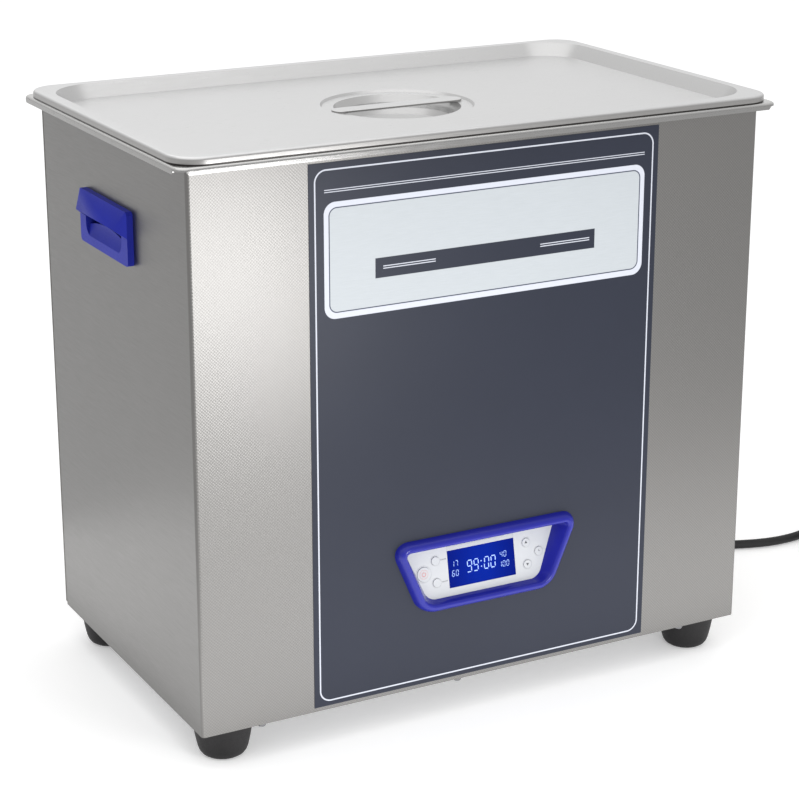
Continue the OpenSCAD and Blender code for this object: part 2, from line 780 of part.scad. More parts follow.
module control_fascia() color("white") on_fascia() difference() {
    union() {
        translate([0, 0, -fascia_t]) linear_extrude(fascia_t) fascia_outline();
        for (p = posts) translate([p.x, p.y, pcb_z]) cylinder(h = -pcb_z - eps, d = post_d);
    }
    translate([0, 0, -fascia_t - 1]) linear_extrude(fascia_t + 2)
        square([lcd_w + play, lcd_h + play], center = true);
    for (i = [0:5]) translate([keys[i].x, keys[i].y, -fascia_t - 1])
        cylinder(h = fascia_t + 2, d = key_size(i) + 2 * play);
    for (p = posts) translate([p.x, p.y, pcb_z - 1])
        cylinder(h = 1 - pcb_z - fascia_t, d = post_hole_d + play);
}

module display_window() color("#0a2aa8") on_fascia() translate([0, 0, -fascia_t])
    linear_extrude(fascia_t) square([lcd_w, lcd_h], center = true);

module display_module() color("#1f2f4f") on_fascia() translate([0, 0, pcb_z]) difference() {
    linear_extrude(-pcb_z - fascia_t) square([lcd_w + 4, lcd_h + 4], center = true);
    for (p = posts) translate([p.x, p.y, -1]) cylinder(h = -pcb_z, d = post_d + 2 * play);
}

// Keys 0 to 5 are power, ultrasonic, heating, up, down and set
function key_size(i) = i == 0 ? power_key_d : key_d;

module key_cap(i) color("white") on_fascia() translate([keys[i].x, keys[i].y, 0]) {
    translate([0, 0, key_proud - key_l]) cylinder(h = key_l, d = key_size(i));
    translate([0, 0, -fascia_t - play - key_flange_t])
        cylinder(h = key_flange_t, d = key_size(i) + 2 * key_flange);
}

module key_power() key_cap(0);
module key_ultrasonic() key_cap(1);
module key_heating() key_cap(2);
module key_up() key_cap(3);
module key_down() key_cap(4);
module key_set() key_cap(5);

module control_board() color("darkgreen") on_fascia() difference() {
    union() {
        translate([0, 0, pcb_z - pcb_t]) linear_extrude(pcb_t) fascia_outline(-seat_step);
        tact_top = key_proud - key_l - tact_gap;
        for (k = keys) translate([k.x, k.y, (pcb_z + tact_top - 1) / 2])
            cube([6, 6, tact_top - 1 - pcb_z], center = true);
        for (k = keys) translate([k.x, k.y, pcb_z]) cylinder(h = tact_top - pcb_z, d = 3.4);
    }
    for (p = posts) translate([p.x, p.y, pcb_z - pcb_t - 1]) cylinder(h = pcb_t + 2, d = post_hole_d + play);
}

module control_screws() color("gainsboro") on_fascia() for (p = posts)
    translate([p.x, p.y, pcb_z - pcb_t]) rotate([180, 0, 0]) pan_screw(post_hole_d, 5);

// Side handles, drawn with x along the cabinet's side, y up and z out of it

// Opening under the hood: flat on top, with an arched sill
module pocket_outline() {
    half = pocket_l / 2;
    sill_r = (half * half + arch_drop * arch_drop) / (2 * arch_drop);
    difference() {
        translate([-half, pocket_low]) square([pocket_l, pocket_top - pocket_low]);
        translate([0, arch_top - sill_r]) circle(sill_r, $fn = 128);
    }
}

// Outside of the finger pocket behind the frame
module pocket_box(grow = 0) {
    reach = handle_wall + grow;
    translate([-pocket_l / 2 - reach, pocket_low - reach])
        square([pocket_l + 2 * reach, pocket_top - pocket_low + 2 * reach]);
}

// Height of the hood's sloped face over the cabinet's side
function hood_face(y) = handle_t + (handle_h / 2 - y) * (hood_proud - handle_t) / hood_h;

// Hood with mitred ends, grown out of the frame's upper part
module hood() hull() {
    linear_extrude(handle_t) intersection() {
        rrect(handle_l, handle_h, handle_r);
        translate([-handle_l / 2, hood_low - hood_end_drop]) square(handle_l);
    }
    lip_l = handle_l - 2 * hood_mitre;
    translate([-lip_l / 2, hood_low, 0]) cube([lip_l, eps, hood_proud]);
}

// Shallow finger scoop below the sill
module finger_scoop() intersection() {
    translate([0, arch_top, scoop_z]) rotate([0, 90, 0]) cylinder(h = handle_l, r = scoop_r, center = true);
    translate([0, (hood_low + scoop_low) / 2, -pocket_in]) linear_extrude(pocket_in + hood_proud)
        rrect(pocket_l, hood_low - scoop_low, scoop_corner);
}

module side_handle(s) color("#2d2ba8") on_side(s) difference() {
    union() {
        linear_extrude(handle_t) rrect(handle_l, handle_h, handle_r);
        hood();
        translate([0, 0, -pocket_in - handle_wall])
            linear_extrude(pocket_in + handle_wall + eps) pocket_box();
    }
    translate([0, 0, -pocket_in]) linear_extrude(pocket_in + handle_t / 2) pocket_outline();
    translate([0, 0, handle_t / 2 - eps]) linear_extrude(hood_proud) intersection() {
        pocket_outline();
        translate([-handle_l / 2, hood_low - handle_h]) square([handle_l, handle_h]);
    }
    skin = 1.15 * handle_wall;
    rotate([90, 0, 90]) linear_extrude(pocket_l, center = true) polygon([[hood_low - eps, 0],
        [pocket_top, 0], [pocket_top, hood_face(pocket_top) - skin], [hood_low - eps, hood_proud - skin]]);
    finger_scoop();
}

module handle_left() side_handle(-1);
module handle_right() side_handle(1);

// Transducers and heaters

module transducer_horns() color("lightslategray") at_horns() difference() {
    translate([0, 0, ring_top_z]) cylinder(h = horn_h, r1 = horn_low_r, r2 = horn_d / 2);
    translate([0, 0, ring_top_z - 1]) cylinder(h = horn_h / 2 + 1, d = bolt_d + play);
}

module piezo_rings() color("#3f3a33") at_horns() for (i = [1, 2]) difference() {
    translate([0, 0, ring_top_z - i * ring_t - (i - 1) * electrode_t]) cylinder(h = ring_t, d = ring_d);
    translate([0, 0, tail_top_z - 1]) cylinder(h = horn_h, d = ring_bore);
}

module piezo_electrodes() color("goldenrod") at_horns() for (i = [1, 2])
    translate([0, 0, ring_top_z - i * (ring_t + electrode_t)]) linear_extrude(electrode_t) difference() {
        union() {
            circle(d = ring_d);
            translate([0, -4]) square([ring_d / 2 + 8, 8]);
        }
        circle(d = ring_bore);
    }

module transducer_tails() color("gray") at_horns() difference() {
    translate([0, 0, tail_low_z]) cylinder(h = tail_h, d = ring_d + 2);
    translate([0, 0, tail_low_z - 1]) cylinder(h = tail_h + 2, d = bolt_d + play);
}

module transducer_bolts() color("dimgray") at_horns() translate([0, 0, tail_low_z]) {
    translate([0, 0, -bolt_head_h]) cylinder(h = bolt_head_h, d = bolt_head / cos(30), $fn = 6);
    translate([0, 0, -eps]) cylinder(h = tail_h + 2 * ring_t + 2 * electrode_t + horn_h / 2 - 2, d = bolt_d);
}

module heater_pads() color("#8a3a24") for (s = [-1, 1])
    translate([0, s * (tank_d / 2 + tank_t + heater_t / 2), floor_z + tank_fillet + heater_h / 2 + 10])
        rotate([90, 0, 0]) linear_extrude(heater_t, center = true) rrect(heater_l, heater_h, 8);

module temperature_sensor() color("tan") translate([-horn_shift, 0, under_z - sensor_h]) {
    cylinder(h = sensor_h, d = sensor_d);
    for (x = [-1, 1]) translate([5 * x, 0, -3]) cube([0.8, 6, 8], center = true);
}

// Drain, from the tank's floor to the valve on the right side

module drain_spud() color("silver") translate([drain_x, 0, 0]) difference() {
    union() {
        translate([0, 0, floor_z]) cylinder(h = spud_flange_t, d = spud_flange_d);
        translate([0, 0, spud_low]) cylinder(h = floor_z - spud_low + eps, d = spud_d);
    }
    translate([0, 0, spud_low - 1]) cylinder(h = floor_z - spud_low + spud_flange_t + 2, d = drain_bore);
}

module drain_nut() color("silver") translate([drain_x, 0, under_z - drain_nut_h]) difference() {
    cylinder(h = drain_nut_h, d = drain_nut_d / cos(30), $fn = 6);
    translate([0, 0, -1]) cylinder(h = drain_nut_h + 2, d = spud_d + play);
}

module drain_elbow() color("silver") difference() {
    union() {
        translate([drain_x, 0, valve_z - drain_d / 2])
            cylinder(h = elbow_top - valve_z + drain_d / 2, d = elbow_d);
        translate([drain_x, 0, valve_z]) rotate([0, 90, 0]) cylinder(h = elbow_end - drain_x, d = drain_d);
    }
    translate([drain_x, 0, spud_low]) cylinder(h = elbow_top - spud_low + 1, d = spud_d + play);
    translate([drain_x, 0, valve_z]) cylinder(h = spud_low - valve_z + 1, d = drain_bore);
    translate([drain_x, 0, valve_z]) rotate([0, 90, 0]) cylinder(h = elbow_end, d = drain_bore);
}

module valve_body() color("#b99a4b") difference() {
    union() {
        translate([valve_x, 0, valve_z]) sphere(d = housing_d);
        translate([valve_start, 0, valve_z]) rotate([0, 90, 0])
            cylinder(h = 2 * valve_half, d = drain_d + 4);
        for (x = [valve_start, valve_start + 2 * valve_half - 14]) translate([x, 0, valve_z])
            rotate([0, 90, 0]) cylinder(h = 14, d = valve_hex / cos(30), $fn = 6);
        translate([valve_x, 0, valve_z]) cylinder(h = gland_top - valve_z, d = gland_d);
    }
    translate([valve_x, 0, valve_z]) sphere(d = ball_d + 0.6);
    translate([valve_start - 1, 0, valve_z]) rotate([0, 90, 0])
        cylinder(h = 2 * valve_half + 2, d = drain_bore);
    translate([valve_start - 1, 0, valve_z]) rotate([0, 90, 0])
        cylinder(h = elbow_end - valve_start + 1, d = drain_d + play);
    translate([tail_start, 0, valve_z]) rotate([0, 90, 0]) cylinder(h = valve_half, d = drain_d + play);
    translate([valve_x, 0, valve_z]) cylinder(h = gland_top, d = stem_d + 2 * run_play);
}

// The ball turns with its stem; its bore lies across the pipe while the valve is shut
module valve_ball() color("gainsboro") translate([valve_x, 0, valve_z]) difference() {
    union() {
        sphere(d = ball_d);
        cylinder(h = stem_top - valve_z, d = stem_d);
    }
    rotate([90, 0, 0]) cylinder(h = 2 * ball_d, d = drain_bore - 2, center = true);
}

module valve_lever() color("#b3221c") translate([valve_x, 0, gland_top + play]) difference() {
    union() {
        cylinder(h = lever_t, d = lever_w + 4);
        translate([-lever_w / 2, 0, 0]) cube([lever_w, lever_l - lever_w / 2, lever_t]);
        translate([0, lever_l - lever_w / 2, 0]) cylinder(h = lever_t, d = lever_w);
    }
    translate([0, 0, -1]) cylinder(h = lever_t + 2, d = stem_d + play);
}

module lever_nut() color("gainsboro") translate([valve_x, 0, gland_top + play + lever_t]) difference() {
    cylinder(h = stem_nut_h, d = 14 / cos(30), $fn = 6);
    translate([0, 0, -1]) cylinder(h = stem_nut_h + 2, d = stem_d + play);
}

module hose_tail() color("#b99a4b") translate([tail_start, 0, valve_z]) rotate([0, 90, 0]) difference() {
    union() {
        cylinder(h = tail_hex_x - tail_start, d = drain_d);
        translate([0, 0, tail_hex_x - tail_start]) cylinder(h = 8, d = 26 / cos(30), $fn = 6);
        translate([0, 0, tail_hex_x - tail_start]) cylinder(h = tail_end - tail_hex_x, d = tail_d);
        for (i = [0:2]) translate([0, 0, tail_end - tail_start - tail_plain - 6 * i - 5])
            cylinder(h = 5, d1 = tail_d + 2.4, d2 = tail_d);
    }
    translate([0, 0, -1]) cylinder(h = tail_end - tail_start + 2, d = drain_bore - 4);
}

// Cooling fan, drawn on the rear with z outwards

module fan_frame() color("#222222") on_rear() translate([fan_x, fan_centre_z, -sheet_t - fan_depth])
difference() {
    union() {
        difference() {
            linear_extrude(fan_depth) rrect(fan_size, fan_size, 5);
            translate([0, 0, -1]) cylinder(h = fan_depth + 2, d = fan_bore_d);
        }
        cylinder(h = fan_wall, d = hub_d);
        for (a = [0:90:270]) rotate(a) translate([0, -2.5, 0]) cube([fan_bore_d / 2 + 1, 5, fan_wall]);
        cylinder(h = fan_depth - 8, d = boss_d);
    }
    translate([0, 0, -1]) cylinder(h = fan_depth, d = fan_shaft_d + 2 * run_play);
    for (x = [-1, 1], y = [-1, 1]) translate([x * fan_hole_pitch / 2, y * fan_hole_pitch / 2, -1])
        cylinder(h = fan_depth + 2, d = fan_hole_d);
}

module fan_rotor() color("#333333") on_rear()
    translate([fan_x, fan_centre_z, -sheet_t - fan_depth + fan_wall + 1]) {
        difference() {
            cylinder(h = hub_l, d = hub_d);
            translate([0, 0, -1]) cylinder(h = hub_l - 1, d = hub_d - 4);
        }
        translate([0, 0, 1]) cylinder(h = hub_l - 2, d = fan_shaft_d);
        for (i = [0:blade_count - 1]) rotate(360 * i / blade_count) translate([hub_d / 2 - 1, 0, hub_l / 2])
            rotate([blade_pitch, 0, 0]) translate([0, -hub_l / 2, -blade_t / 2])
                cube([fan_bore_d / 2 - hub_d / 2 - 1, hub_l, blade_t]);
    }

module fan_guard() color("silver") on_rear() translate([fan_x, fan_centre_z, 0]) {
    for (r = guard_rings) translate([0, 0, guard_stand])
        rotate_extrude() translate([r, 0]) circle(d = guard_wire);
    for (a = [0, 90]) rotate(45 + a) translate([0, 0, guard_wire / 2 + eyelet_t / 2]) rotate([0, 90, 0])
        cylinder(h = guard_bar_l, d = guard_wire, center = true);
    for (x = [-1, 1], y = [-1, 1]) translate([x * fan_hole_pitch / 2, y * fan_hole_pitch / 2, 0])
        difference() {
            cylinder(h = eyelet_t, d = eyelet_d);
            translate([0, 0, -1]) cylinder(h = eyelet_t + 2, d = fan_hole_d);
        }
}

module fan_screws() color("gainsboro") on_rear() at_fan_holes() translate([0, 0, eyelet_t])
    pan_screw(screw_d, fan_screw_l);

// Mains inlet and switch

module mains_inlet() color("#1c1c1c") on_rear() translate([-inlet_x, mains_z, 0]) difference() {
    union() {
        linear_extrude(inlet_flange.z) rrect(inlet_flange.x, inlet_flange.y, 3);
        translate([0, 0, -inlet_body.z / 2]) cube(inlet_body, center = true);
        for (x = [-1, 0, 1]) translate([x * pin_pitch, 0, -inlet_body.z - inlet_tab_out])
            cube(inlet_tab, center = true);
    }
    difference() {
        translate([0, 0, inlet_flange.z - inlet_cavity.z / 2 + eps]) cube(inlet_cavity, center = true);
        pin_middle = inlet_flange.z - inlet_cavity.z + pin_size.z / 2;
        for (x = [-1, 0, 1]) translate([x * pin_pitch, x == 0 ? pin_rise : -pin_rise, pin_middle])
            cube(pin_size, center = true);
    }
}

module switch_frame() color("#1c1c1c") on_rear() translate([-switch_x, mains_z, 0]) difference() {
    union() {
        linear_extrude(switch_flange.z) rrect(switch_flange.x, switch_flange.y, 3);
        translate([0, 0, -switch_body.z / 2]) cube(switch_body, center = true);
    }
    rotate([0, 90, 0]) cylinder(h = rocker_l + 2 * play, r = rocker_r + 0.4, center = true);
    rotate([0, 90, 0]) cylinder(h = rocker_l + 4, d = trunnion_d + 2 * run_play, center = true);
}

// Rocker with a dished face, at rest with its lower end pressed in
module switch_rocker() color("#7a1512") on_rear() translate([-switch_x, mains_z, 0])
rotate([rocker_tilt, 0, 0]) {
    rotate([90, 0, 90]) linear_extrude(rocker_l, center = true) intersection() {
        circle(rocker_r);
        polygon([[-12, -6], [12, -6], [12, 5], [0, 2.6], [-12, 5]]);
    }
    rotate([0, 90, 0]) cylinder(h = rocker_l + 3, d = trunnion_d, center = true);
}

// Generator on the base plate

module generator_board() color("darkgreen") translate([0, 0, board_z]) linear_extrude(board_t) difference() {
    translate([board_x, board_y]) square([board_l, board_w], center = true);
    at_board_holes() circle(d = board_screw_d + play);
}

module board_spacers() color("goldenrod") at_board_holes() {
    translate([0, 0, body_z]) cylinder(h = spacer_h, d = spacer_af / cos(30), $fn = 6);
    translate([0, 0, foot_h - 2]) cylinder(h = base_t + 3, d = board_screw_d);
    translate([0, 0, board_z - 1]) cylinder(h = board_t + 5, d = board_screw_d);
}

module heat_sink() color("darkgray") translate([sink_x, board_y, board_z + board_t])
    rotate([90, 0, 0]) linear_extrude(sink_w, center = true) {
        translate([-sink_l / 2, 0]) square([sink_l, sink_base]);
        for (i = [0:fin_count - 1]) translate([-sink_l / 2 + i * (sink_l - fin_t) / (fin_count - 1), 0])
            square([fin_t, sink_h]);
    }

module output_transformer() color("#8a4b1e") translate([toroid_x, toroid_y, board_z + board_t])
    difference() {
        cylinder(h = toroid_h, d = toroid_d);
        translate([0, 0, -1]) cylinder(h = toroid_h + 2, d = toroid_hole);
    }

module filter_capacitors() color("#20304f") for (i = [0:2])
    translate([cap_x + cap_pitch * i, cap_y, board_z + board_t])
        cylinder(h = cap_h, d = cap_d);

// Mains lead

// Points of a tube's ring about p, square to the direction t
function ring(p, t, r, n) = let (side = cross(t, [0, 0, 1]), u = side / norm(side), v = cross(u, t) / norm(t))
    [for (k = [0:n - 1]) p + r * (u * cos(360 * k / n) + v * sin(360 * k / n))];

function heading(path, i) = path[min(i + 1, len(path) - 1)] - path[max(i - 1, 0)];

module tube(path, r, n) {
    rings = [for (i = [0:len(path) - 1]) each ring(path[i], heading(path, i), r, n)];
    last = n * (len(path) - 1);
    polyhedron(rings, concat(
        [for (k = [1:n - 2]) [0, k, k + 1]],
        [for (k = [1:n - 2]) [last, last + k + 1, last + k]],
        [for (i = [0:len(path) - 2], k = [0:n - 1]) let (a = i * n, b = a + n, m = (k + 1) % n) each
            [[a + k, b + k, b + m], [a + k, b + m, a + m]]]));
}

// The coil turns clockwise from its rear edge: in on the lower layer, up, and out on the upper one
function coil_point(s) = let (a = 90 - 360 * s,
    r = coil_r - coil_pitch * (coil_turn_back - abs(s - coil_turn_back)),
    climb = min(1, max(0, (s - coil_turn_back) / coil_climb + 0.5)))
    [coil_centre.x + r * cos(a), coil_centre.y + r * sin(a), coil_low + coil_pitch * climb];
coil_turn_points = [for (i = [0:coil_steps * coil_turns]) coil_point(i / coil_steps)];
coil_path = concat([[coil_centre.x - 9, coil_centre.y + coil_r, coil_low]], coil_turn_points, plug_run);
coil_gap = min([for (i = [0:len(coil_turn_points) - 1], j = [i + coil_steps / 2:1:len(coil_turn_points) - 1])
    norm(coil_turn_points[i] - coil_turn_points[j])]) - cord_d;
echo(least_gap_between_coil_turns = coil_gap);

module mains_lead() color("#1a1a1a") tube(lead_route, lead_r, lead_sides);

module lead_coil() color("#1a1a1a") tube(coil_path, lead_r, coil_sides);

// Moulded connector in the inlet, with a tapered strain relief
module lead_connector() color("#1a1a1a") on_rear() translate([-inlet_x, mains_z, inlet_flange.z])
difference() {
    union() {
        translate([0, 0, -connector_nose.z / 2 + eps]) cube(connector_nose, center = true);
        hull() {
            linear_extrude(connector_l - 8) square([connector_body.x, connector_body.y], center = true);
            cylinder(h = connector_l, d = relief_d + 2, $fn = 32);
        }
        translate([0, 0, connector_l - eps]) cylinder(h = relief_l + eps, d1 = relief_d, d2 = cord_d + 2);
        for (i = [0:3]) translate([0, 0, connector_l + 4 + 8 * i]) cylinder(h = 4, d = relief_d + 0.6 - i);
    }
    for (x = [-1, 0, 1]) translate([x * pin_pitch, x == 0 ? pin_rise : -pin_rise, -connector_nose.z / 2 - 1])
        cube([pin_size.x + 2 * play, pin_size.y + 2 * play, connector_nose.z], center = true);
}

// Tie round the turns at the coil's front
module tie_outline(r) hull() for (s = [0.5, 1.5, 2.5]) {
    p = coil_point(s);
    translate([p.y - coil_centre.y, p.z]) circle(r, $fn = 32);
}

module cord_tie() color("#1a1a1a") translate([coil_centre.x - tie_w / 2, coil_centre.y, 0])
    rotate([90, 0, 90]) linear_extrude(tie_w) difference() {
        tie_outline(lead_r + tie_play + tie_t);
        tie_outline(lead_r + tie_play);
    }

// Plug that lies on the floor at the lead's end
module mains_plug() color("#1a1a1a") {
    translate(plug_at) rotate([90, 0, 0]) {
        rotate_extrude() polygon([[0, 0], [cord_d / 2 + 1.2, 0], [cord_d / 2 + 3, plug_relief_l],
            [plug_d / 2 - 4, plug_relief_l + 8], [plug_d / 2, plug_relief_l + plug_body_l - 10],
            [plug_d / 2, plug_relief_l + plug_body_l], [0, plug_relief_l + plug_body_l]]);
        for (x = [-1, 1]) translate([x * plug_pin_pitch / 2, 0, plug_relief_l + plug_body_l - eps])
            cylinder(h = plug_pin_l, d = plug_pin_d);
    }
}

cabinet_wrap();
rear_panel();
base_plate();
cabinet_screws();
foot_front_left();
foot_front_right();
foot_rear_left();
foot_rear_right();
foot_screws();
foot_nuts();
tank();
lid();
lid_grip();
front_overlay();
control_bezel();
control_fascia();
display_window();
display_module();
key_power();
key_ultrasonic();
key_heating();
key_up();
key_down();
key_set();
control_board();
control_screws();
handle_left();
handle_right();
transducer_horns();
piezo_rings();
piezo_electrodes();
transducer_tails();
transducer_bolts();
heater_pads();
temperature_sensor();
drain_spud();
drain_nut();
drain_elbow();
valve_body();
valve_ball();
valve_lever();
lever_nut();
hose_tail();
fan_frame();
fan_rotor();
fan_guard();
fan_screws();
mains_inlet();
switch_frame();
switch_rocker();
generator_board();
board_spacers();
heat_sink();
output_transformer();
filter_capacitors();
lead_connector();
mains_lead();
lead_coil();
cord_tie();
mains_plug();
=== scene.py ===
"""Dresses the bench-top ultrasonic cleaner.

Sheet steel, printed front film, blue plastic, lit display, signs, mains lead, floor and light.
"""
import json
import math

import bmesh
import bpy
from mathutils import Matrix, Vector

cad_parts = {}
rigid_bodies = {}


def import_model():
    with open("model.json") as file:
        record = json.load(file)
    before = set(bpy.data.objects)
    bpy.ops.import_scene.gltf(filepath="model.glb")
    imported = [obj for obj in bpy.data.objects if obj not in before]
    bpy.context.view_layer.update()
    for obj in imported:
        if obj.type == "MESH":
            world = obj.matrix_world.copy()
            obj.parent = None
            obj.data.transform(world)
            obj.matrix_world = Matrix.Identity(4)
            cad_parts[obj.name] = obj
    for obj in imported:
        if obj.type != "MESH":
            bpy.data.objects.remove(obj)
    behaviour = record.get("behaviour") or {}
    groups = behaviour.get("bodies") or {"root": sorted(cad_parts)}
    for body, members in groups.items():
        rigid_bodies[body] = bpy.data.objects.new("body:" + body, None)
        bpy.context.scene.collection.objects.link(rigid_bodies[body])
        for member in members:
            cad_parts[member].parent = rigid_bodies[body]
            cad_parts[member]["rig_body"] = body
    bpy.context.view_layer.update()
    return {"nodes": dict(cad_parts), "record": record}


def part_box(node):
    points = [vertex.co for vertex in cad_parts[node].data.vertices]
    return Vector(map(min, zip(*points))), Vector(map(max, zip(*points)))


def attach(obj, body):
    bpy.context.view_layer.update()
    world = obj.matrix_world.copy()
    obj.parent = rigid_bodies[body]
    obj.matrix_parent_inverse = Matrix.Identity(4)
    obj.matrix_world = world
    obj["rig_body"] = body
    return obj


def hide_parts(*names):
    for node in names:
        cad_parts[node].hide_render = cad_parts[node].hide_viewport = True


MM = 0.001

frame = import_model()
nodes = frame["nodes"]
slot_of = {part["node"]: part["material_slot"] for part in frame["record"]["subparts"]}
scene = bpy.context.scene
scene.view_settings.view_transform = "Standard"

# Places that the pieces share, in metres, from the frame
cabinet_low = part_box("cabinet_wrap")[0]
window_low, window_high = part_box("display_window")
BODY_Z = cabinet_low.z
FRONT_Y = cabinet_low.y
REAR_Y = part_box("rear_panel")[1].y

# The control unit: its middle, and how its fascia leans and lies behind the front
UNIT_Z = BODY_Z + 98.5 * MM
FASCIA_TILT = math.radians(10.5)
FASCIA_BACK = 5.7 * MM

# The keys: outer and inner columns, half the pitch of the rows, drop below the unit's middle, and height
KEY_OUT_X = 54.5 * MM
KEY_IN_X = 43 * MM
KEY_Y = 9.2 * MM
KEYS_LOW = 1.3 * MM
KEY_TOP = 0.6 * MM

# A flat shape drawn with x to the right, y up and z outwards, on the front, the fascia or the rear
ON_FRONT = Matrix.Translation((0, FRONT_Y, 0)) @ Matrix.Rotation(math.pi / 2, 4, "X")
ON_FASCIA = Matrix.Translation((0, FRONT_Y + FASCIA_BACK, UNIT_Z)) @ Matrix.Rotation(
    math.pi / 2 - FASCIA_TILT, 4, "X"
)
ON_REAR = Matrix.Translation((0, REAR_Y, 0)) @ Matrix.Rotation(math.pi, 4, "Z") @ Matrix.Rotation(
    math.pi / 2, 4, "X"
)


def new_object(name, data):
    made = bpy.data.objects.new(name, data)
    scene.collection.objects.link(made)
    return made


def aim(thing, at, target):
    """Puts a camera or a light at one place and turns it to another."""
    thing.location = at
    thing.rotation_euler = (Vector(target) - Vector(at)).to_track_quat("-Z", "Y").to_euler()


# Camera

CAMERA_AT = (-0.8851, -1.6479, 0.8453)
CAMERA_TARGET = (-0.0023, -0.0083, 0.2297)
CAMERA_LENS = 102.9
CAMERA_SENSOR = 36
CAMERA_FAR = 100


def place_camera():
    data = bpy.data.cameras.new("camera")
    data.sensor_width = CAMERA_SENSOR
    data.lens = CAMERA_LENS
    data.clip_end = CAMERA_FAR
    scene.camera = new_object("camera", data)
    aim(scene.camera, CAMERA_AT, CAMERA_TARGET)


place_camera()


# Mains lead: the free stretch, the coil and the run to the plug, in millimetres

LEAD_D = 8.4
LEAD_ROUTE = [
    (150, 214, 95.2), (150, 223, 95.2), (150, 240, 92), (152, 258, 83), (156, 275, 68),
    (163, 290, 50), (173, 303, 32), (187, 313, 17), (204, 318, 8), (223, 317, 4.5),
    (242, 310, 4.3), (259, 298, 4.3), (273, 282, 4.3), (284, 263, 4.3), (292, 242, 4.3),
    (298, 220, 4.3), (302, 198, 4.3), (305, 176, 4.3), (308, 154, 4.3), (313, 132, 4.3),
    (321, 110, 4.3), (332, 89, 4.3), (347, 69, 4.3), (364, 53, 4.3), (384, 41, 4.3),
    (405, 32, 4.3), (426, 26, 4.3), (448, 24, 4.3), (470, 26, 4.6), (489, 30.5, 5.2),
    (502, 33, 5.6), (511, 33, 5.6),
]
PLUG_RUN = [(571, -26, 14.8), (571, -44, 16), (571, -62, 17.4), (571, -74, 18.2), (571, -83, 18.2)]
COIL_CENTRE = (520, -18)
COIL_R = 51
COIL_TURNS = 3.25
COIL_CLIMB = 0.5
COIL_LOW = 5.6
COIL_PITCH = LEAD_D + 0.6
COIL_STEPS = 24


def coil_point(turn):
    """Clockwise from the coil's rear edge: in on the lower layer, up, and out on the upper one."""
    back = COIL_TURNS / 2
    angle = math.pi / 2 - 2 * math.pi * turn
    radius = COIL_R - COIL_PITCH * (back - abs(turn - back))
    climb = min(1, max(0, (turn - back) / COIL_CLIMB + 0.5))
    x = COIL_CENTRE[0] + radius * math.cos(angle)
    y = COIL_CENTRE[1] + radius * math.sin(angle)
    return x, y, COIL_LOW + COIL_PITCH * climb


def lead_points():
    turns = [coil_point(i / COIL_STEPS) for i in range(round(COIL_STEPS * COIL_TURNS) + 1)]
    return [Vector(p) * MM for p in LEAD_ROUTE + turns + PLUG_RUN]


def mains_lead():
    points = lead_points()
    data = bpy.data.curves.new("mains_lead_skin", "CURVE")
    data.dimensions = "3D"
    # A knot's radius widens the curve's box as well as its tube, so the knots carry the real size
    data.bevel_depth = 1
    data.bevel_resolution = 5
    data.resolution_u = 6
    data.use_fill_caps = True
    spline = data.splines.new("BEZIER")
    spline.bezier_points.add(len(points) - 1)
    for knot, place in zip(spline.bezier_points, points):
        knot.co = place
        knot.radius = LEAD_D / 2 * MM
        knot.handle_left_type = knot.handle_right_type = "AUTO"
    lead = new_object("mains_lead_skin", data)
    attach(lead, "cabinet")
    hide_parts("mains_lead", "lead_coil")
    return lead


lead = mains_lead()


# Shader helpers

# Nearly all of a noise lies between these
NOISE_SPAN = (0.3, 0.7)


def add(tree, kind, values=None, **settings):
    node = tree.nodes.new(kind)
    for name, value in settings.items():
        setattr(node, name, value)
    for socket, value in (values or {}).items():
        node.inputs[socket].default_value = value
    return node


def math_node(tree, operation, first, second=None):
    """A Math node whose inputs are sockets or numbers; gives its output socket."""
    node = add(tree, "ShaderNodeMath", operation=operation)
    for socket, value in zip(node.inputs, (first, second)):
        if isinstance(value, bpy.types.NodeSocket):
            tree.links.new(value, socket)
        elif value is not None:
            socket.default_value = value
    return node.outputs[0]


def remap(tree, value, low, high, to_low, to_high):
    node = add(tree, "ShaderNodeMapRange", {1: low, 2: high, 3: to_low, 4: to_high})
    tree.links.new(value, node.inputs[0])
    return node.outputs[0]


def mix_colour(tree, factor, first, second):
    """Mixes two colours, each a socket or an RGB tuple."""
    node = add(tree, "ShaderNodeMix", data_type="RGBA")
    tree.links.new(factor, node.inputs[0])
    for socket, value in ((node.inputs[6], first), (node.inputs[7], second)):
        if isinstance(value, bpy.types.NodeSocket):
            tree.links.new(value, socket)
        else:
            socket.default_value = (*value, 1)
    return node.outputs[2]


def shade(colour, factor):
    return tuple(min(1, c * factor) for c in colour)


def between(tree, factor, colour, darkest, lightest):
    """A colour that goes from one shade of itself to another."""
    return mix_colour(tree, factor, shade(colour, darkest), shade(colour, lightest))


def new_group(name, inputs, outputs):
    tree = bpy.data.node_groups.new(name, "ShaderNodeTree")
    for label, kind, value in inputs:
        socket = tree.interface.new_socket(label, in_out="INPUT", socket_type=kind)
        socket.default_value = value
    for label in outputs:
        tree.interface.new_socket(label, in_out="OUTPUT", socket_type="NodeSocketFloat")
    return tree, add(tree, "NodeGroupInput"), add(tree, "NodeGroupOutput")


def use_group(tree, group, **values):
    node = add(tree, "ShaderNodeGroup", node_tree=group)
    for label, value in values.items():
        node.inputs[label.replace("_", " ")].default_value = value
    return node


def split_axes(tree, source):
    """X, Y and Z of one of the Texture Coordinate node's outputs."""
    coords = add(tree, "ShaderNodeTexCoord")
    split = add(tree, "ShaderNodeSeparateXYZ")
    tree.links.new(coords.outputs[source], split.inputs[0])
    return split.outputs


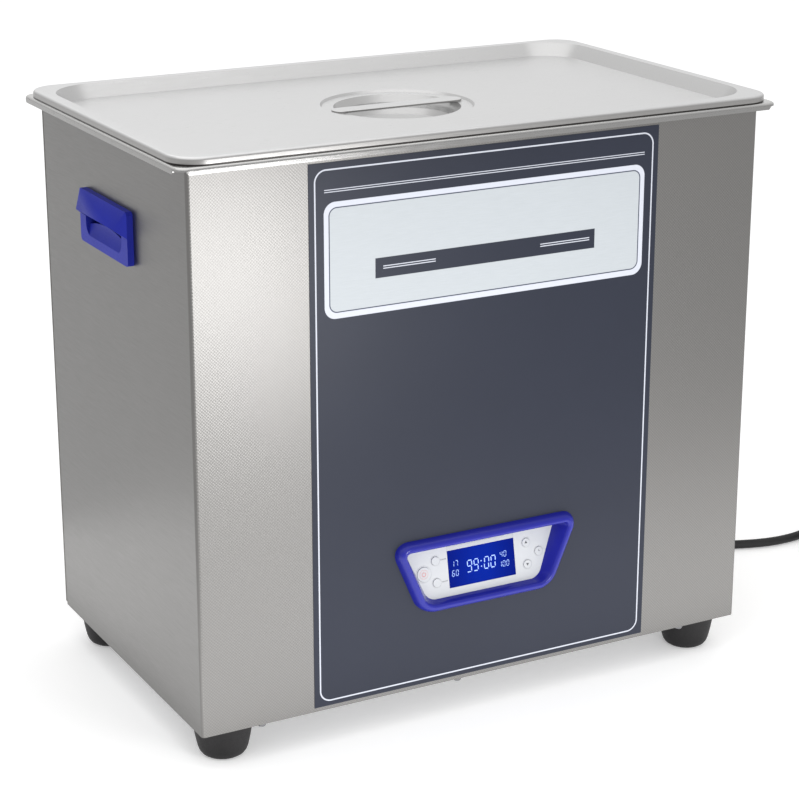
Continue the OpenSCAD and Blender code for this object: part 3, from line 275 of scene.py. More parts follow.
def make_mottle():
    """Slow change of tone over a surface, from 0 to 1."""
    tree, given, out = new_group("mottle", [("Scale", "NodeSocketFloat", 8.0)], ["Tone"])
    coords = add(tree, "ShaderNodeTexCoord")
    noise = add(tree, "ShaderNodeTexNoise", {"Detail": 5.0, "Roughness": 0.6})
    tree.links.new(coords.outputs["Object"], noise.inputs["Vector"])
    tree.links.new(given.outputs["Scale"], noise.inputs["Scale"])
    tree.links.new(remap(tree, noise.outputs["Fac"], *NOISE_SPAN, 0, 1), out.inputs["Tone"])
    return tree


def make_grain():
    """Fine lines along the axis with the smallest scale, or even specks where all scales are alike."""
    tree, given, out = new_group("grain", [("Across", "NodeSocketVector", (900, 900, 900))], ["Lines"])
    coords = add(tree, "ShaderNodeTexCoord")
    stretch = add(tree, "ShaderNodeVectorMath", operation="MULTIPLY")
    tree.links.new(coords.outputs["Object"], stretch.inputs[0])
    tree.links.new(given.outputs["Across"], stretch.inputs[1])
    noise = add(tree, "ShaderNodeTexNoise", {"Scale": 1.0, "Detail": 3.0, "Roughness": 0.7})
    tree.links.new(stretch.outputs[0], noise.inputs["Vector"])
    tree.links.new(noise.outputs["Fac"], out.inputs["Lines"])
    return tree


def make_linen():
    """Embossed linen of small lozenges on the upright front, as a height from 0 to 1."""
    tree, given, out = new_group("linen_emboss", [("Pitch", "NodeSocketFloat", 0.002)], ["Height"])
    axes = split_axes(tree, "Object")
    turn = math_node(tree, "DIVIDE", 2 * math.pi, given.outputs["Pitch"])
    waves = []
    for along in (axes["X"], axes["Z"]):
        waves.append(math_node(tree, "SINE", math_node(tree, "MULTIPLY", along, turn)))
    height = remap(tree, math_node(tree, "MULTIPLY", *waves), -1, 1, 0, 1)
    tree.links.new(height, out.inputs["Height"])
    return tree


def make_rounded_distance():
    """Distance on the front from a rounded rectangle's edge, less than nothing inside it."""
    sockets = [
        ("Centre", "NodeSocketVector", (0, 0, 0)),
        ("Half Size", "NodeSocketVector", (0.1, 0.1, 0)),
        ("Radius", "NodeSocketFloat", 0.01),
    ]
    tree, given, out = new_group("rounded_distance", sockets, ["Distance"])
    axes = split_axes(tree, "Object")
    place = add(tree, "ShaderNodeCombineXYZ")
    tree.links.new(axes["X"], place.inputs[0])
    tree.links.new(axes["Z"], place.inputs[1])
    steps = []
    for operation in ("SUBTRACT", "ABSOLUTE", "SUBTRACT"):
        steps.append(add(tree, "ShaderNodeVectorMath", operation=operation))
    tree.links.new(place.outputs[0], steps[0].inputs[0])
    tree.links.new(given.outputs["Centre"], steps[0].inputs[1])
    tree.links.new(steps[0].outputs[0], steps[1].inputs[0])
    tree.links.new(steps[1].outputs[0], steps[2].inputs[0])
    tree.links.new(given.outputs["Half Size"], steps[2].inputs[1])
    grown = add(tree, "ShaderNodeSeparateXYZ")
    tree.links.new(steps[2].outputs[0], grown.inputs[0])
    past = [math_node(tree, "ADD", grown.outputs[i], given.outputs["Radius"]) for i in (0, 1)]
    outside = [math_node(tree, "MAXIMUM", value, 0) for value in past]
    corner = add(tree, "ShaderNodeCombineXYZ")
    for socket, value in zip(corner.inputs, outside):
        tree.links.new(value, socket)
    length = add(tree, "ShaderNodeVectorMath", operation="LENGTH")
    tree.links.new(corner.outputs[0], length.inputs[0])
    inside = math_node(tree, "MINIMUM", math_node(tree, "MAXIMUM", *past), 0)
    total = math_node(tree, "ADD", length.outputs["Value"], inside)
    tree.links.new(math_node(tree, "SUBTRACT", total, given.outputs["Radius"]), out.inputs["Distance"])
    return tree


def make_upright():
    """Nothing on a level face, rising to 1 on an upright one."""
    tree, _, out = new_group("upright", [], ["Mask"])
    level = math_node(tree, "ABSOLUTE", split_axes(tree, "Normal")["Z"])
    tree.links.new(remap(tree, level, 0.97, 0.1, 0, 1), out.inputs["Mask"])
    return tree


mottle = make_mottle()
grain = make_grain()
upright = make_upright()
linen = make_linen()
rounded_distance = make_rounded_distance()


# Kinds of material: the grain's scales along each axis, and the depth of its relief in metres

EVEN = (1500, 1500, 1500)
COARSE = (900, 900, 900)
ROLLED = (40, 40, 1800)
TURNED = (300, 300, 2500)
RELIEF = 0.0002


def new_material(name, colour, roughness, metallic=0.0, specular=0.5):
    material = bpy.data.materials.new(name)
    material.use_nodes = True
    shader = material.node_tree.nodes["Principled BSDF"]
    shader.inputs["Base Color"].default_value = (*colour, 1)
    shader.inputs["Roughness"].default_value = roughness
    shader.inputs["Metallic"].default_value = metallic
    shader.inputs["Specular IOR Level"].default_value = specular
    return material, material.node_tree, shader


def emboss(tree, shader, height, strength, depth=RELIEF):
    relief = add(tree, "ShaderNodeBump", {"Strength": strength, "Distance": depth})
    tree.links.new(height, relief.inputs["Height"])
    tree.links.new(relief.outputs["Normal"], shader.inputs["Normal"])


def tone_and_grain(tree, shader, colour, roughness, *, spread, scale, rough_spread, across, bump):
    """Gives a shader slow changes of tone, uneven gloss and a fine relief."""
    tone = use_group(tree, mottle, Scale=scale).outputs["Tone"]
    lines = use_group(tree, grain, Across=across).outputs["Lines"]
    toned = between(tree, tone, colour, 1 - spread, 1 + spread)
    tree.links.new(toned, shader.inputs["Base Color"])
    rough = remap(tree, lines, *NOISE_SPAN, roughness - rough_spread, roughness + rough_spread)
    tree.links.new(rough, shader.inputs["Roughness"])
    emboss(tree, shader, lines, bump)
    return toned


def plain_steel(name, colour, roughness, across, spread=0.04, bump=0.12):
    """Steel of one colour, with the parts that a further finish builds on."""
    material, tree, shader = new_material(name, colour, roughness, metallic=1)
    toned = tone_and_grain(
        tree, shader, colour, roughness, spread=spread, scale=6, rough_spread=0.07, across=across, bump=bump
    )
    return material, tree, shader, toned


def steel(*settings, **more):
    return plain_steel(*settings, **more)[0]


def shaded_wall_steel(name, colour, wall_shade, roughness, across, outside=None, **more):
    """Steel with painted shade: its upright faces, such as turned-down edges, are painted darker than its
    level faces.

    Either all of them are, or those outside a half width and a half depth.
    """
    material, tree, shader, level = plain_steel(name, colour, roughness, across, **more)
    wall_shade_mask = use_group(tree, upright).outputs["Mask"]
    if outside:
        axes = split_axes(tree, "Object")
        beyond = [
            math_node(tree, "GREATER_THAN", math_node(tree, "ABSOLUTE", axes[axis]), half)
            for axis, half in zip("XY", outside)
        ]
        wall_shade_mask = math_node(tree, "MULTIPLY", wall_shade_mask, math_node(tree, "MAXIMUM", *beyond))
    # Painted shade: upright faces take the darker colour
    wall_shaded = mix_colour(tree, wall_shade_mask, level, wall_shade)
    tree.links.new(wall_shaded, shader.inputs["Base Color"])
    return material, tree, shader, wall_shaded


def plastic(name, colour, roughness, spread=0.05, bump=0.1, specular=0.5):
    material, tree, shader = new_material(name, colour, roughness, specular=specular)
    tone_and_grain(
        tree, shader, colour, roughness, spread=spread, scale=25, rough_spread=0.05, across=EVEN, bump=bump
    )
    return material


def rubber(name, colour, roughness=0.62):
    material, tree, shader = new_material(name, colour, roughness, specular=0.35)
    tone_and_grain(
        tree, shader, colour, roughness, spread=0.25, scale=40, rough_spread=0.1, across=COARSE, bump=0.3
    )
    return material


def glow(name, colour, strength):
    material, tree, shader = new_material(name, colour, roughness=0.3)
    shader.inputs["Emission Strength"].default_value = strength
    tone = use_group(tree, mottle, Scale=60).outputs["Tone"]
    toned = between(tree, tone, colour, 0.92, 1.06)
    tree.links.new(toned, shader.inputs["Base Color"])
    tree.links.new(toned, shader.inputs["Emission Color"])
    return material


# Steel sheet

SIDE_STEEL = (0.150, 0.147, 0.143)
FRONT_STEEL = (0.184, 0.180, 0.175)
FRONT_DEPTH = 0.4 * MM
FRONT_SATIN = 0.6
LINEN_PITCH = 2.6 * MM
LINEN_RELIEF = 0.0003
BRUSHED_RELIEF = 0.15


def cabinet_steel():
    """Satin sheet: plain on the sides, embossed with fine linen on the front."""
    material, tree, shader = new_material("cabinet_steel", FRONT_STEEL, 0.4, metallic=1)
    front = math_node(tree, "LESS_THAN", split_axes(tree, "Object")["Y"], FRONT_Y + FRONT_DEPTH)
    tone = use_group(tree, mottle, Scale=3.5).outputs["Tone"]
    lines = use_group(tree, grain, Across=ROLLED).outputs["Lines"]
    weave = use_group(tree, linen, Pitch=LINEN_PITCH).outputs["Height"]
    sides = between(tree, tone, SIDE_STEEL, 0.97, 1.03)
    cloth = between(tree, weave, FRONT_STEEL, 0.87, 1.13)
    tree.links.new(mix_colour(tree, front, sides, cloth), shader.inputs["Base Color"])
    brushed = math_node(tree, "MULTIPLY", lines, math_node(tree, "SUBTRACT", 1, front))
    satin = math_node(tree, "ADD", brushed, math_node(tree, "MULTIPLY", front, FRONT_SATIN))
    tree.links.new(remap(tree, satin, *NOISE_SPAN, 0.3, 0.4), shader.inputs["Roughness"])
    raised = math_node(tree, "MULTIPLY", weave, front)
    lined = math_node(tree, "MULTIPLY", brushed, BRUSHED_RELIEF)
    emboss(tree, shader, math_node(tree, "ADD", raised, lined), 0.2, LINEN_RELIEF)
    return material


# Tank: its level faces, and painted shade on the lip that turns down, outside a half width and a half depth
TANK_BRIGHT = (0.70, 0.695, 0.685)
TANK_LIP_SHADE = (0.27, 0.267, 0.263)
TANK_GRAIN = (60, 60, 900)
TANK_LIP_SHADE_FROM = (0.258, 0.1545)


def tank_steel():
    """Bright sheet, with painted shade: only the lip that turns down outside the cabinet is painted darker.
    """
    return shaded_wall_steel("tank_steel", TANK_BRIGHT, TANK_LIP_SHADE, 0.24, TANK_GRAIN, outside=TANK_LIP_SHADE_FROM)[0]


# Lid: its level faces, and painted shade on its upright faces
LID_BRIGHT = (0.80, 0.80, 0.80)
LID_WALL_SHADE = (0.30, 0.295, 0.29)
LID_GRAIN = (45, 900, 900)
LID_LOW = BODY_Z + 458.2 * MM
# A dark line painted for the shadow in the gap under the lid: its colour, how far it reaches above and below
# the lid's lowest edge, and how upright a face must be to take it
GAP_SHADOW = (0.035, 0.033, 0.032)
GAP_SHADOW_REACH = 1 * MM
GAP_SHADOW_UPRIGHT = 0.95


def lid_steel():
    """Bright satin sheet, with painted shade on its upright faces and a painted shadow: a dark line along the
    skirt's lowest edge, where it stands on the rim, for the shadow in the gap there.
    """
    material, tree, shader, wall_shaded = shaded_wall_steel(
        "lid_steel", LID_BRIGHT, LID_WALL_SHADE, 0.34, LID_GRAIN, spread=0.01, bump=0.02
    )
    # Painted shadow: dark within the reach of the lid's lowest edge, on upright faces only
    above = math_node(tree, "SUBTRACT", split_axes(tree, "Object")["Z"], LID_LOW)
    low = math_node(tree, "LESS_THAN", math_node(tree, "ABSOLUTE", above), GAP_SHADOW_REACH)
    skirt = math_node(tree, "GREATER_THAN", use_group(tree, upright).outputs["Mask"], GAP_SHADOW_UPRIGHT)
    gap_shade = math_node(tree, "MULTIPLY", low, skirt)
    tree.links.new(mix_colour(tree, gap_shade, wall_shaded, GAP_SHADOW), shader.inputs["Base Color"])
    return material


# Front film: each shape's left, right, low and high edges and its corner radius, in millimetres from the
# cabinet's middle and its lower edge

FILM_DARK = (0.0175, 0.0210, 0.0350)
PRINT_WHITE = (0.53, 0.55, 0.615)
PLATE_SILVER = (0.425, 0.452, 0.475)
PLATE_EDGE = shade(FILM_DARK, 2.2)
PLATE_GRAIN = (60, 60, 2600)
PRINT_EDGE = 0.15 * MM
SHARP = 0.1
FILM_BORDER = (-151.7, 151.7, 7.8, 442.4, 9.5)
FILM_BORDER_W = 1.15
PLATE_FRAME = (-144.4, 144.4, 326, 417.4, 9.5)
PLATE = (-140, 140, 331, 412.8, 6.5)
PLATE_EDGE_W = 0.9
PLATE_BAR = (-100.8, 98, 353.4, 369.3, SHARP)
# Pairs of level lines: left, right, heights and half a line's width
TOP_LINES = (-143.8, 143.8, (426.9, 425.2), 0.3)
BAR_LEFT_LINES = (-94, -48, (360.6, 362.4), 0.35)
BAR_RIGHT_LINES = (47, 93, (360.6, 362.4), 0.35)


class FrontPrint:
    """Printed shapes, each laid over the ones before it."""

    def __init__(self, tree, ground):
        self.tree = tree
        self.colour = ground

    def distance(self, left, right, low, high, radius):
        centre = ((left + right) / 2 * MM, BODY_Z + (low + high) / 2 * MM, 0)
        half = ((right - left) / 2 * MM, (high - low) / 2 * MM, 0)
        group = use_group(self.tree, rounded_distance, Centre=centre, Half_Size=half, Radius=radius * MM)
        return group.outputs["Distance"]

    def paint(self, away, reach, colour):
        """Colours all that is no farther away than the reach."""
        mask = remap(self.tree, away, reach - PRINT_EDGE, reach + PRINT_EDGE, 1, 0)
        self.colour = mix_colour(self.tree, mask, self.colour, colour)

    def area(self, shape, colour):
        self.paint(self.distance(*shape), 0, colour)

    def outline(self, shape, width, colour):
        self.paint(math_node(self.tree, "ABSOLUTE", self.distance(*shape)), width / 2 * MM, colour)

    def level_lines(self, left, right, heights, half):
        for height in heights:
            self.area((left, right, height - half, height + half, SHARP), PRINT_WHITE)


def front_film():
    """Dark satin film with white lines, a bare silver plate and a plain dark bar."""
    material, tree, shader = new_material("front_film", FILM_DARK, 0.38, specular=0.22)
    tone = use_group(tree, mottle, Scale=5).outputs["Tone"]
    specks = use_group(tree, grain, Across=EVEN).outputs["Lines"]
    brushed = use_group(tree, grain, Across=PLATE_GRAIN).outputs["Lines"]
    silver = between(tree, brushed, PLATE_SILVER, 0.9, 1.12)
    dark = between(tree, tone, FILM_DARK, 0.93, 1.08)
    art = FrontPrint(tree, dark)
    art.outline(FILM_BORDER, FILM_BORDER_W, PRINT_WHITE)
    art.level_lines(*TOP_LINES)
    art.area(PLATE_FRAME, PRINT_WHITE)
    art.area(PLATE, silver)
    art.outline(PLATE, PLATE_EDGE_W, PLATE_EDGE)
    art.area(PLATE_BAR, dark)
    art.level_lines(*BAR_LEFT_LINES)
    art.level_lines(*BAR_RIGHT_LINES)
    tree.links.new(art.colour, shader.inputs["Base Color"])
    tree.links.new(remap(tree, specks, *NOISE_SPAN, 0.32, 0.44), shader.inputs["Roughness"])
    emboss(tree, shader, specks, 0.08)
    return material


# Display

FASCIA_WHITE = (0.475, 0.487, 0.503)
DISPLAY_MIDDLE = (0.0, 0.010, 0.19)
DISPLAY_SIDE = (0.0, 0.005, 0.125)
DISPLAY_BORDER = 3.2 * MM
DISPLAY_GLOW = 0.4


def display_blue():
    """Lit display: deep blue, a little brighter in the middle, under a window with a white upper border."""
    material, tree, shader = new_material("display_blue", DISPLAY_MIDDLE, 0.2, specular=0.05)
    axes = split_axes(tree, "Object")
    half = (window_high.x - window_low.x) / 2
    side = math_node(tree, "DIVIDE", math_node(tree, "ABSOLUTE", axes["X"]), half)
    lit = mix_colour(tree, remap(tree, side, 0.2, 1, 0, 1), DISPLAY_MIDDLE, DISPLAY_SIDE)
    border = math_node(tree, "GREATER_THAN", axes["Z"], window_high.z - DISPLAY_BORDER)
    tree.links.new(mix_colour(tree, border, lit, FASCIA_WHITE), shader.inputs["Base Color"])
    tree.links.new(mix_colour(tree, border, lit, (0, 0, 0)), shader.inputs["Emission Color"])
    shader.inputs["Emission Strength"].default_value = DISPLAY_GLOW
    return material


# Finishes, by slot or by the name of a special one: colour, roughness and grain

BLUE_SURFACE = {"spread": 0.06, "bump": 0.02}

finishes = {
    "cabinet_steel": cabinet_steel(),
    "rear_steel": steel("rear_steel", (0.44, 0.435, 0.425), 0.36, ROLLED),
    "base_steel": steel("base_steel", (0.32, 0.32, 0.33), 0.45, EVEN, spread=0.1),
    "bright_zinc": steel("bright_zinc", (0.72, 0.72, 0.71), 0.25, EVEN),
    "screw_zinc": steel("screw_zinc", (0.30, 0.30, 0.31), 0.22, EVEN),
    "foot_rubber": rubber("foot_rubber", (0.011, 0.0102, 0.011)),
    "tank_steel": tank_steel(),
    "lid_steel": lid_steel(),
    "overlay": front_film(),
    "blue_plastic": plastic("blue_plastic", (0.012, 0.0145, 0.235), 0.2, specular=0.3, **BLUE_SURFACE),
    "handle_blue": plastic("handle_blue", (0.020, 0.027, 0.29), 0.3, specular=0.04, **BLUE_SURFACE),
    "white_plastic": plastic("white_plastic", FASCIA_WHITE, 0.4, spread=0.015),
    "display": display_blue(),
    "display_case": plastic("display_case", (0.03, 0.032, 0.036), 0.5),
    "board_green": plastic("board_green", (0.01, 0.09, 0.03), 0.35, spread=0.2),
    "horn_aluminium": steel("horn_aluminium", (0.70, 0.71, 0.72), 0.35, TURNED),
    "ceramic": plastic("ceramic", (0.05, 0.045, 0.038), 0.55, spread=0.2),
    "copper": steel("copper", (0.70, 0.33, 0.17), 0.3, EVEN),
    "tail_steel": steel("tail_steel", (0.42, 0.42, 0.43), 0.35, TURNED),
    "silicone": rubber("silicone", (0.32, 0.055, 0.025)),
    "sensor": plastic("sensor", (0.42, 0.30, 0.17), 0.5),
    "valve_brass": steel("valve_brass", (0.72, 0.52, 0.22), 0.28, EVEN),
    "lever_red": plastic("lever_red", (0.40, 0.018, 0.012), 0.35, bump=0.2),
    "black_plastic": plastic("black_plastic", (0.018, 0.018, 0.019), 0.42, spread=0.2),
    "capacitor": plastic("capacitor", (0.02, 0.035, 0.08), 0.3),
    "lead_rubber": rubber("lead_rubber", (0.014, 0.014, 0.0145), 0.5),
    "print_white": glow("print_white", (0.32, 0.47, 0.86), 0.3),
    "print_grey": plastic("print_grey", (0.30, 0.31, 0.34), 0.5),
    "print_dark": plastic("print_dark", (0.04, 0.042, 0.05), 0.5),
    "print_red": plastic("print_red", (0.55, 0.05, 0.04), 0.5),
}


def dress(obj, finish):
    if not obj.material_slots:
        obj.data.materials.append(finishes[finish])
    for slot in obj.material_slots:
        slot.material = finishes[finish]


for name, obj in nodes.items():
    dress(obj, slot_of[name])
dress(nodes["cabinet_screws"], "screw_zinc")
dress(lead, "lead_rubber")


# Pieces

WELD = 1e-6
FLAT = math.radians(1)


def finish_piece(bm, name, body, finish, place=None, smooth_angle=35):
    """Makes a bmesh an object that rides on a body, with faces smooth up to an angle."""
    if place:
        bm.transform(place)
    for face in bm.faces:
        face.smooth = True
    for edge in bm.edges:
        edge.smooth = edge.calc_face_angle(0) < math.radians(smooth_angle)
    mesh = bpy.data.meshes.new(name)
    bm.to_mesh(mesh)
    bm.free()
    if "custom_normal" in mesh.attributes:
        mesh.attributes.remove(mesh.attributes["custom_normal"])
    mesh.materials.clear()
    piece = new_object(name, mesh)
    dress(piece, finish)
    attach(piece, body)
    return piece


def merged_solid(node):
    """A bmesh of a solid's own surface, with its corners joined."""
    bm = bmesh.new()
    bm.from_mesh(nodes[node].data)
    bmesh.ops.remove_doubles(bm, verts=bm.verts, dist=WELD)
    return bm


def eased_copy(node, edge=0.0, segments=2, smooth_angle=35, finish=None):
    """The solid with smooth curves and, where edge is given in millimetres, eased corners."""
    bm = merged_solid(node)
    if edge:
        bmesh.ops.dissolve_limit(bm, angle_limit=FLAT, verts=bm.verts, edges=bm.edges)
    slot = slot_of[node]
    body = nodes[node]["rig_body"]
    piece = finish_piece(bm, node + "_skin", body, finish or slot, smooth_angle=smooth_angle)
    if edge:
        bevel = piece.modifiers.new("eased_edges", "BEVEL")
        bevel.width = edge * MM
        bevel.segments = segments
        bevel.limit_method = "ANGLE"
        bevel.angle_limit = math.radians(smooth_angle)
        bevel.harden_normals = False
    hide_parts(node)


def islands(node):
    """Lowest and highest corners of each separate solid of a node."""
    bm = merged_solid(node)
    left = set(bm.verts)
    boxes = []
    while left:
        stack = [left.pop()]
        found = list(stack)
        while stack:
            for edge in stack.pop().link_edges:
                for vert in edge.verts:
                    if vert in left:
                        left.remove(vert)
                        stack.append(vert)
                        found.append(vert)
        low = Vector([min(v.co[i] for v in found) for i in range(3)])
        high = Vector([max(v.co[i] for v in found) for i in range(3)])
        boxes.append((low, high))
    bm.free()
    return boxes


def cut_corners(bm, corners, offset, segments):
    """Cuts corners of a flat face, or rounds them with more than one segment."""
    return bmesh.ops.bevel(
        bm, geom=corners, offset=offset, offset_type="ABSOLUTE", affect="VERTICES", segments=segments,
        profile=0.5, material=-1,
    )


def spin(bm, geom, sweep, steps):
    """Turns lines about the z axis; a full turn is closed."""
    full = abs(sweep - 2 * math.pi) < 1e-6
    bmesh.ops.spin(bm, geom=geom, cent=(0, 0, 0), axis=(0, 0, 1), angle=sweep, steps=steps, use_merge=full)


# Flat drawing, in a plane of its own

PRINT_T = 0.06 * MM
LETTER_WELD = 1e-7


def add_bar(bm, x, y, width, height, corner=0.0):
    """A flat bar about x, y, with cut corners where their size is given."""
    made = bmesh.ops.create_grid(bm, x_segments=1, y_segments=1, size=0.5)["verts"]
    bmesh.ops.scale(bm, vec=(width, height, 1), verts=made)
    if corner:
        made = cut_corners(bm, made, corner, segments=1)["verts"]
    bmesh.ops.translate(bm, vec=(x, y, 0), verts=made)


def add_arc(bm, x, y, inner, outer, start=0.0, sweep=2 * math.pi, steps=40):
    """A flat arc or ring about x, y, spun from a short line."""
    ends = [bm.verts.new((r * math.cos(start), r * math.sin(start), 0)) for r in (inner, outer)]
    line = bm.edges.new(ends)
    before = set(bm.verts) - set(ends)
    spin(bm, ends + [line], sweep, steps)
    made = [v for v in bm.verts if v not in before]
    bmesh.ops.translate(bm, vec=(x, y, 0), verts=made)


def add_words(bm, words, x, y, size):
    """Flat letters that start at x, y."""
    curve = bpy.data.curves.new("words", "FONT")
    curve.body = words
    curve.size = size
    letters = new_object("words", curve)
    bpy.context.view_layer.update()
    depsgraph = bpy.context.evaluated_depsgraph_get()
    mesh = bpy.data.meshes.new_from_object(letters.evaluated_get(depsgraph))
    mesh.transform(Matrix.Translation((x, y, 0)))
    bm.from_mesh(mesh)
    bpy.data.meshes.remove(mesh)
    bpy.data.objects.remove(letters)
    bpy.data.curves.remove(curve)
    bmesh.ops.remove_doubles(bm, verts=bm.verts, dist=LETTER_WELD)


def thicken_print(bm):
    """Gives flat faces the thickness of print, outwards."""
    bmesh.ops.recalc_face_normals(bm, faces=bm.faces)
    for face in bm.faces:
        if face.normal.z < 0:
            face.normal_flip()
    made = bmesh.ops.extrude_face_region(bm, geom=bm.faces[:])["geom"]
    raised = [v for v in made if isinstance(v, bmesh.types.BMVert)]
    bmesh.ops.translate(bm, vec=(0, 0, PRINT_T), verts=raised)
    bmesh.ops.recalc_face_normals(bm, faces=bm.faces)


def print_piece(bm, name, body, finish, place):
    thicken_print(bm)
    finish_piece(bm, name, body, finish, place)


# Lid, tank, handles, keys and hardware keep their solids' shapes

for node in ("lid", "tank", "drain_spud", "hose_tail", "valve_body", "fan_guard"):
    eased_copy(node)
eased_copy("lid_grip", edge=0.5)
for side in ("left", "right"):
    eased_copy("handle_" + side, edge=0.9, segments=3, smooth_angle=22, finish="handle_blue")
for key in ("power", "ultrasonic", "heating", "up", "down", "set"):
    eased_copy("key_" + key, edge=0.15, smooth_angle=50)
eased_copy("valve_lever", edge=0.8, smooth_angle=50)
eased_copy("switch_rocker", edge=0.4, smooth_angle=50)


# Rubber feet: half of their section, as distance from the middle and height in millimetres

FOOT_SECTION = [
    (2.7, 20), (8, 20), (8, 0), (12.5, 0), (15.4, 0.7), (17.7, 2.2), (19.4, 4.6), (20.5, 7.6), (21.4, 11.5),
    (22.5, 17), (23.4, 22.5), (24, 27), (24.1, 29.6), (23.7, 30), (2.7, 30),
]
FOOT_STEPS = 64


def rubber_foot(node):
    """A turned foot with a bulging side, a rounded lower edge and a sunk seat for its screw."""
    low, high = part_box(node)
    bm = bmesh.new()
    ring = [bm.verts.new((r * MM, 0, z * MM)) for r, z in FOOT_SECTION]
    sides = [bm.edges.new((a, b)) for a, b in zip(ring, ring[1:] + ring[:1])]
    spin(bm, ring + sides, 2 * math.pi, FOOT_STEPS)
    bmesh.ops.remove_doubles(bm, verts=bm.verts, dist=WELD)
    bmesh.ops.recalc_face_normals(bm, faces=bm.faces)
    middle = Matrix.Translation(((low.x + high.x) / 2, (low.y + high.y) / 2, low.z))
    foot = finish_piece(bm, node + "_skin", "cabinet", "foot_rubber", middle)
    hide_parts(node)


for corner in ("front_left", "front_right", "rear_left", "rear_right"):
    rubber_foot("foot_" + corner)


# Bezel of the control unit, in millimetres: its outline, then its ridge as steps inwards and outwards

BEZEL_HALF_H = 32.5
BEZEL_TOP_W = 89.5
BEZEL_LOW_W = 62
BEZEL_MID_W = (BEZEL_TOP_W + BEZEL_LOW_W) / 2
BEZEL_LEAN = math.atan2(BEZEL_TOP_W - BEZEL_LOW_W, 2 * BEZEL_HALF_H)
BEZEL_LOW_R = 20
BEZEL_TOP_R = 11.5
BEZEL_LEAST_R = 3
BEZEL_RIDGE = [
    (0, 0.4), (0.35, 2.2), (1.0, 4.0), (1.9, 5.6), (3.0, 6.9), (4.3, 7.7), (5.5, 8.0), (6.6, 7.8), (7.5, 7.1),
    (8.1, 6.0),
]
BEZEL_BAND = 9.2
BEZEL_SIDE = 12.4
BEZEL_WALL = 1.8


def round_corners(bm, corners, radius):
    """Rounds corners of a flat face, whose sides meet at the same angle, to a radius."""
    sides = [e.other_vert(corners[0]).co - corners[0].co for e in corners[0].link_edges]
    reach = radius / math.tan(sides[0].angle(sides[1]) / 2)
    cut_corners(bm, corners, reach, segments=10)


def bezel_loop(bm, inset, height, side_in=0):
    """The edges of the bezel's outline, drawn in by an inset, more at its sides, and lifted to a height."""
    before = set(bm.edges)
    half_h = BEZEL_HALF_H - inset
    half_w = BEZEL_MID_W - (inset + side_in) / math.cos(BEZEL_LEAN)
    spread = half_h * math.tan(BEZEL_LEAN)
    low = [bm.verts.new((x, -half_h, height)) for x in (spread - half_w, half_w - spread)]
    top = [bm.verts.new((x, half_h, height)) for x in (half_w + spread, -half_w - spread)]
    bm.faces.new(low + top)
    round_corners(bm, low, max(BEZEL_LOW_R - inset, BEZEL_LEAST_R))
    round_corners(bm, top, max(BEZEL_TOP_R - inset, BEZEL_LEAST_R))
    loop = [edge for edge in bm.edges if edge not in before]
    bmesh.ops.delete(bm, geom=list({f for edge in loop for f in edge.link_faces}), context="FACES_ONLY")
    return loop


def bezel_seat(bm, inset):
    """The bezel's outline on the leaning fascia."""
    loop = bezel_loop(bm, inset, 0, BEZEL_SIDE - BEZEL_BAND)
    for vert in {v for edge in loop for v in edge.verts}:
        vert.co.z = -FASCIA_BACK / MM - math.tan(FASCIA_TILT) * vert.co.y
    return loop


def control_bezel():
    """Over the ridge, down the inner side to the fascia, and back up behind."""
    bm = bmesh.new()
    loops = [bezel_loop(bm, *step) for step in BEZEL_RIDGE]
    behind = BEZEL_BAND - BEZEL_WALL
    loops += [bezel_seat(bm, BEZEL_BAND), bezel_seat(bm, behind), bezel_loop(bm, behind, BEZEL_RIDGE[0][1])]
    for outer, inner in zip(loops, loops[1:] + loops[:1]):
        bmesh.ops.bridge_loops(bm, edges=outer + inner)
    bmesh.ops.recalc_face_normals(bm, faces=bm.faces)
    place = ON_FRONT @ Matrix.Translation((0, UNIT_Z, 0)) @ Matrix.Scale(MM, 4)
    piece = finish_piece(
        bm, "control_bezel_skin", "cabinet", "blue_plastic", place, smooth_angle=60
    )
    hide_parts("control_bezel")


control_bezel()


# Display numbers, of seven bars to a digit

SEGMENTS = {
    "0": "abcdef", "1": "bc", "4": "bcfg", "6": "acdefg", "7": "abc", "9": "abcdfg",
}
# A digit's bars: how much shorter the standing and the level ones are, their cut corners and their slant
STANDING_CUT = 0.12
LEVEL_CUT = 0.8
BAR_CORNER = 0.4
SLANT = 0.1
# A size of digit, in millimetres: width, height, stroke and step to the next one
LARGE_DIGIT = (4.0, 9.6, 0.75, 6.2)
SMALL_DIGIT = (2.1, 4.6, 0.42, 3.6)
# Each number with its first digit's middle, in millimetres from the unit's middle
LARGE_NUMBERS = [("99", -11.6, -2.1), ("00", 4.6, -2.1)]
SMALL_NUMBERS = [("17", -27, 2.4), ("60", -27, -5.6), ("40", 18.9, 2.2), ("100", 17.4, -6)]
COLON_X = -0.4
COLON_Y = (-4.3, 0.3)
COLON_SIZE = 0.9


def add_digit(bm, digit, x, y, width, height, stroke):
    half = height / 2
    length = half - STANDING_CUT * height
    places = {
        "a": (0, half, False), "g": (0, 0, False), "d": (0, -half, False),
        "f": (-width / 2, half / 2, True), "b": (width / 2, half / 2, True),
        "e": (-width / 2, -half / 2, True), "c": (width / 2, -half / 2, True),
    }
    for name in SEGMENTS[digit]:
        dx, dy, standing = places[name]
        size = (stroke, length) if standing else (width - stroke * LEVEL_CUT, stroke)
        add_bar(bm, x + dx + SLANT * dy, y + dy, *size, corner=stroke * BAR_CORNER)


def add_numbers(bm, numbers, digit_size):
    width, height, stroke, step = (value * MM for value in digit_size)
    for text, x, y in numbers:
        for i, digit in enumerate(text):
            add_digit(bm, digit, x * MM + i * step, y * MM, width, height, stroke)


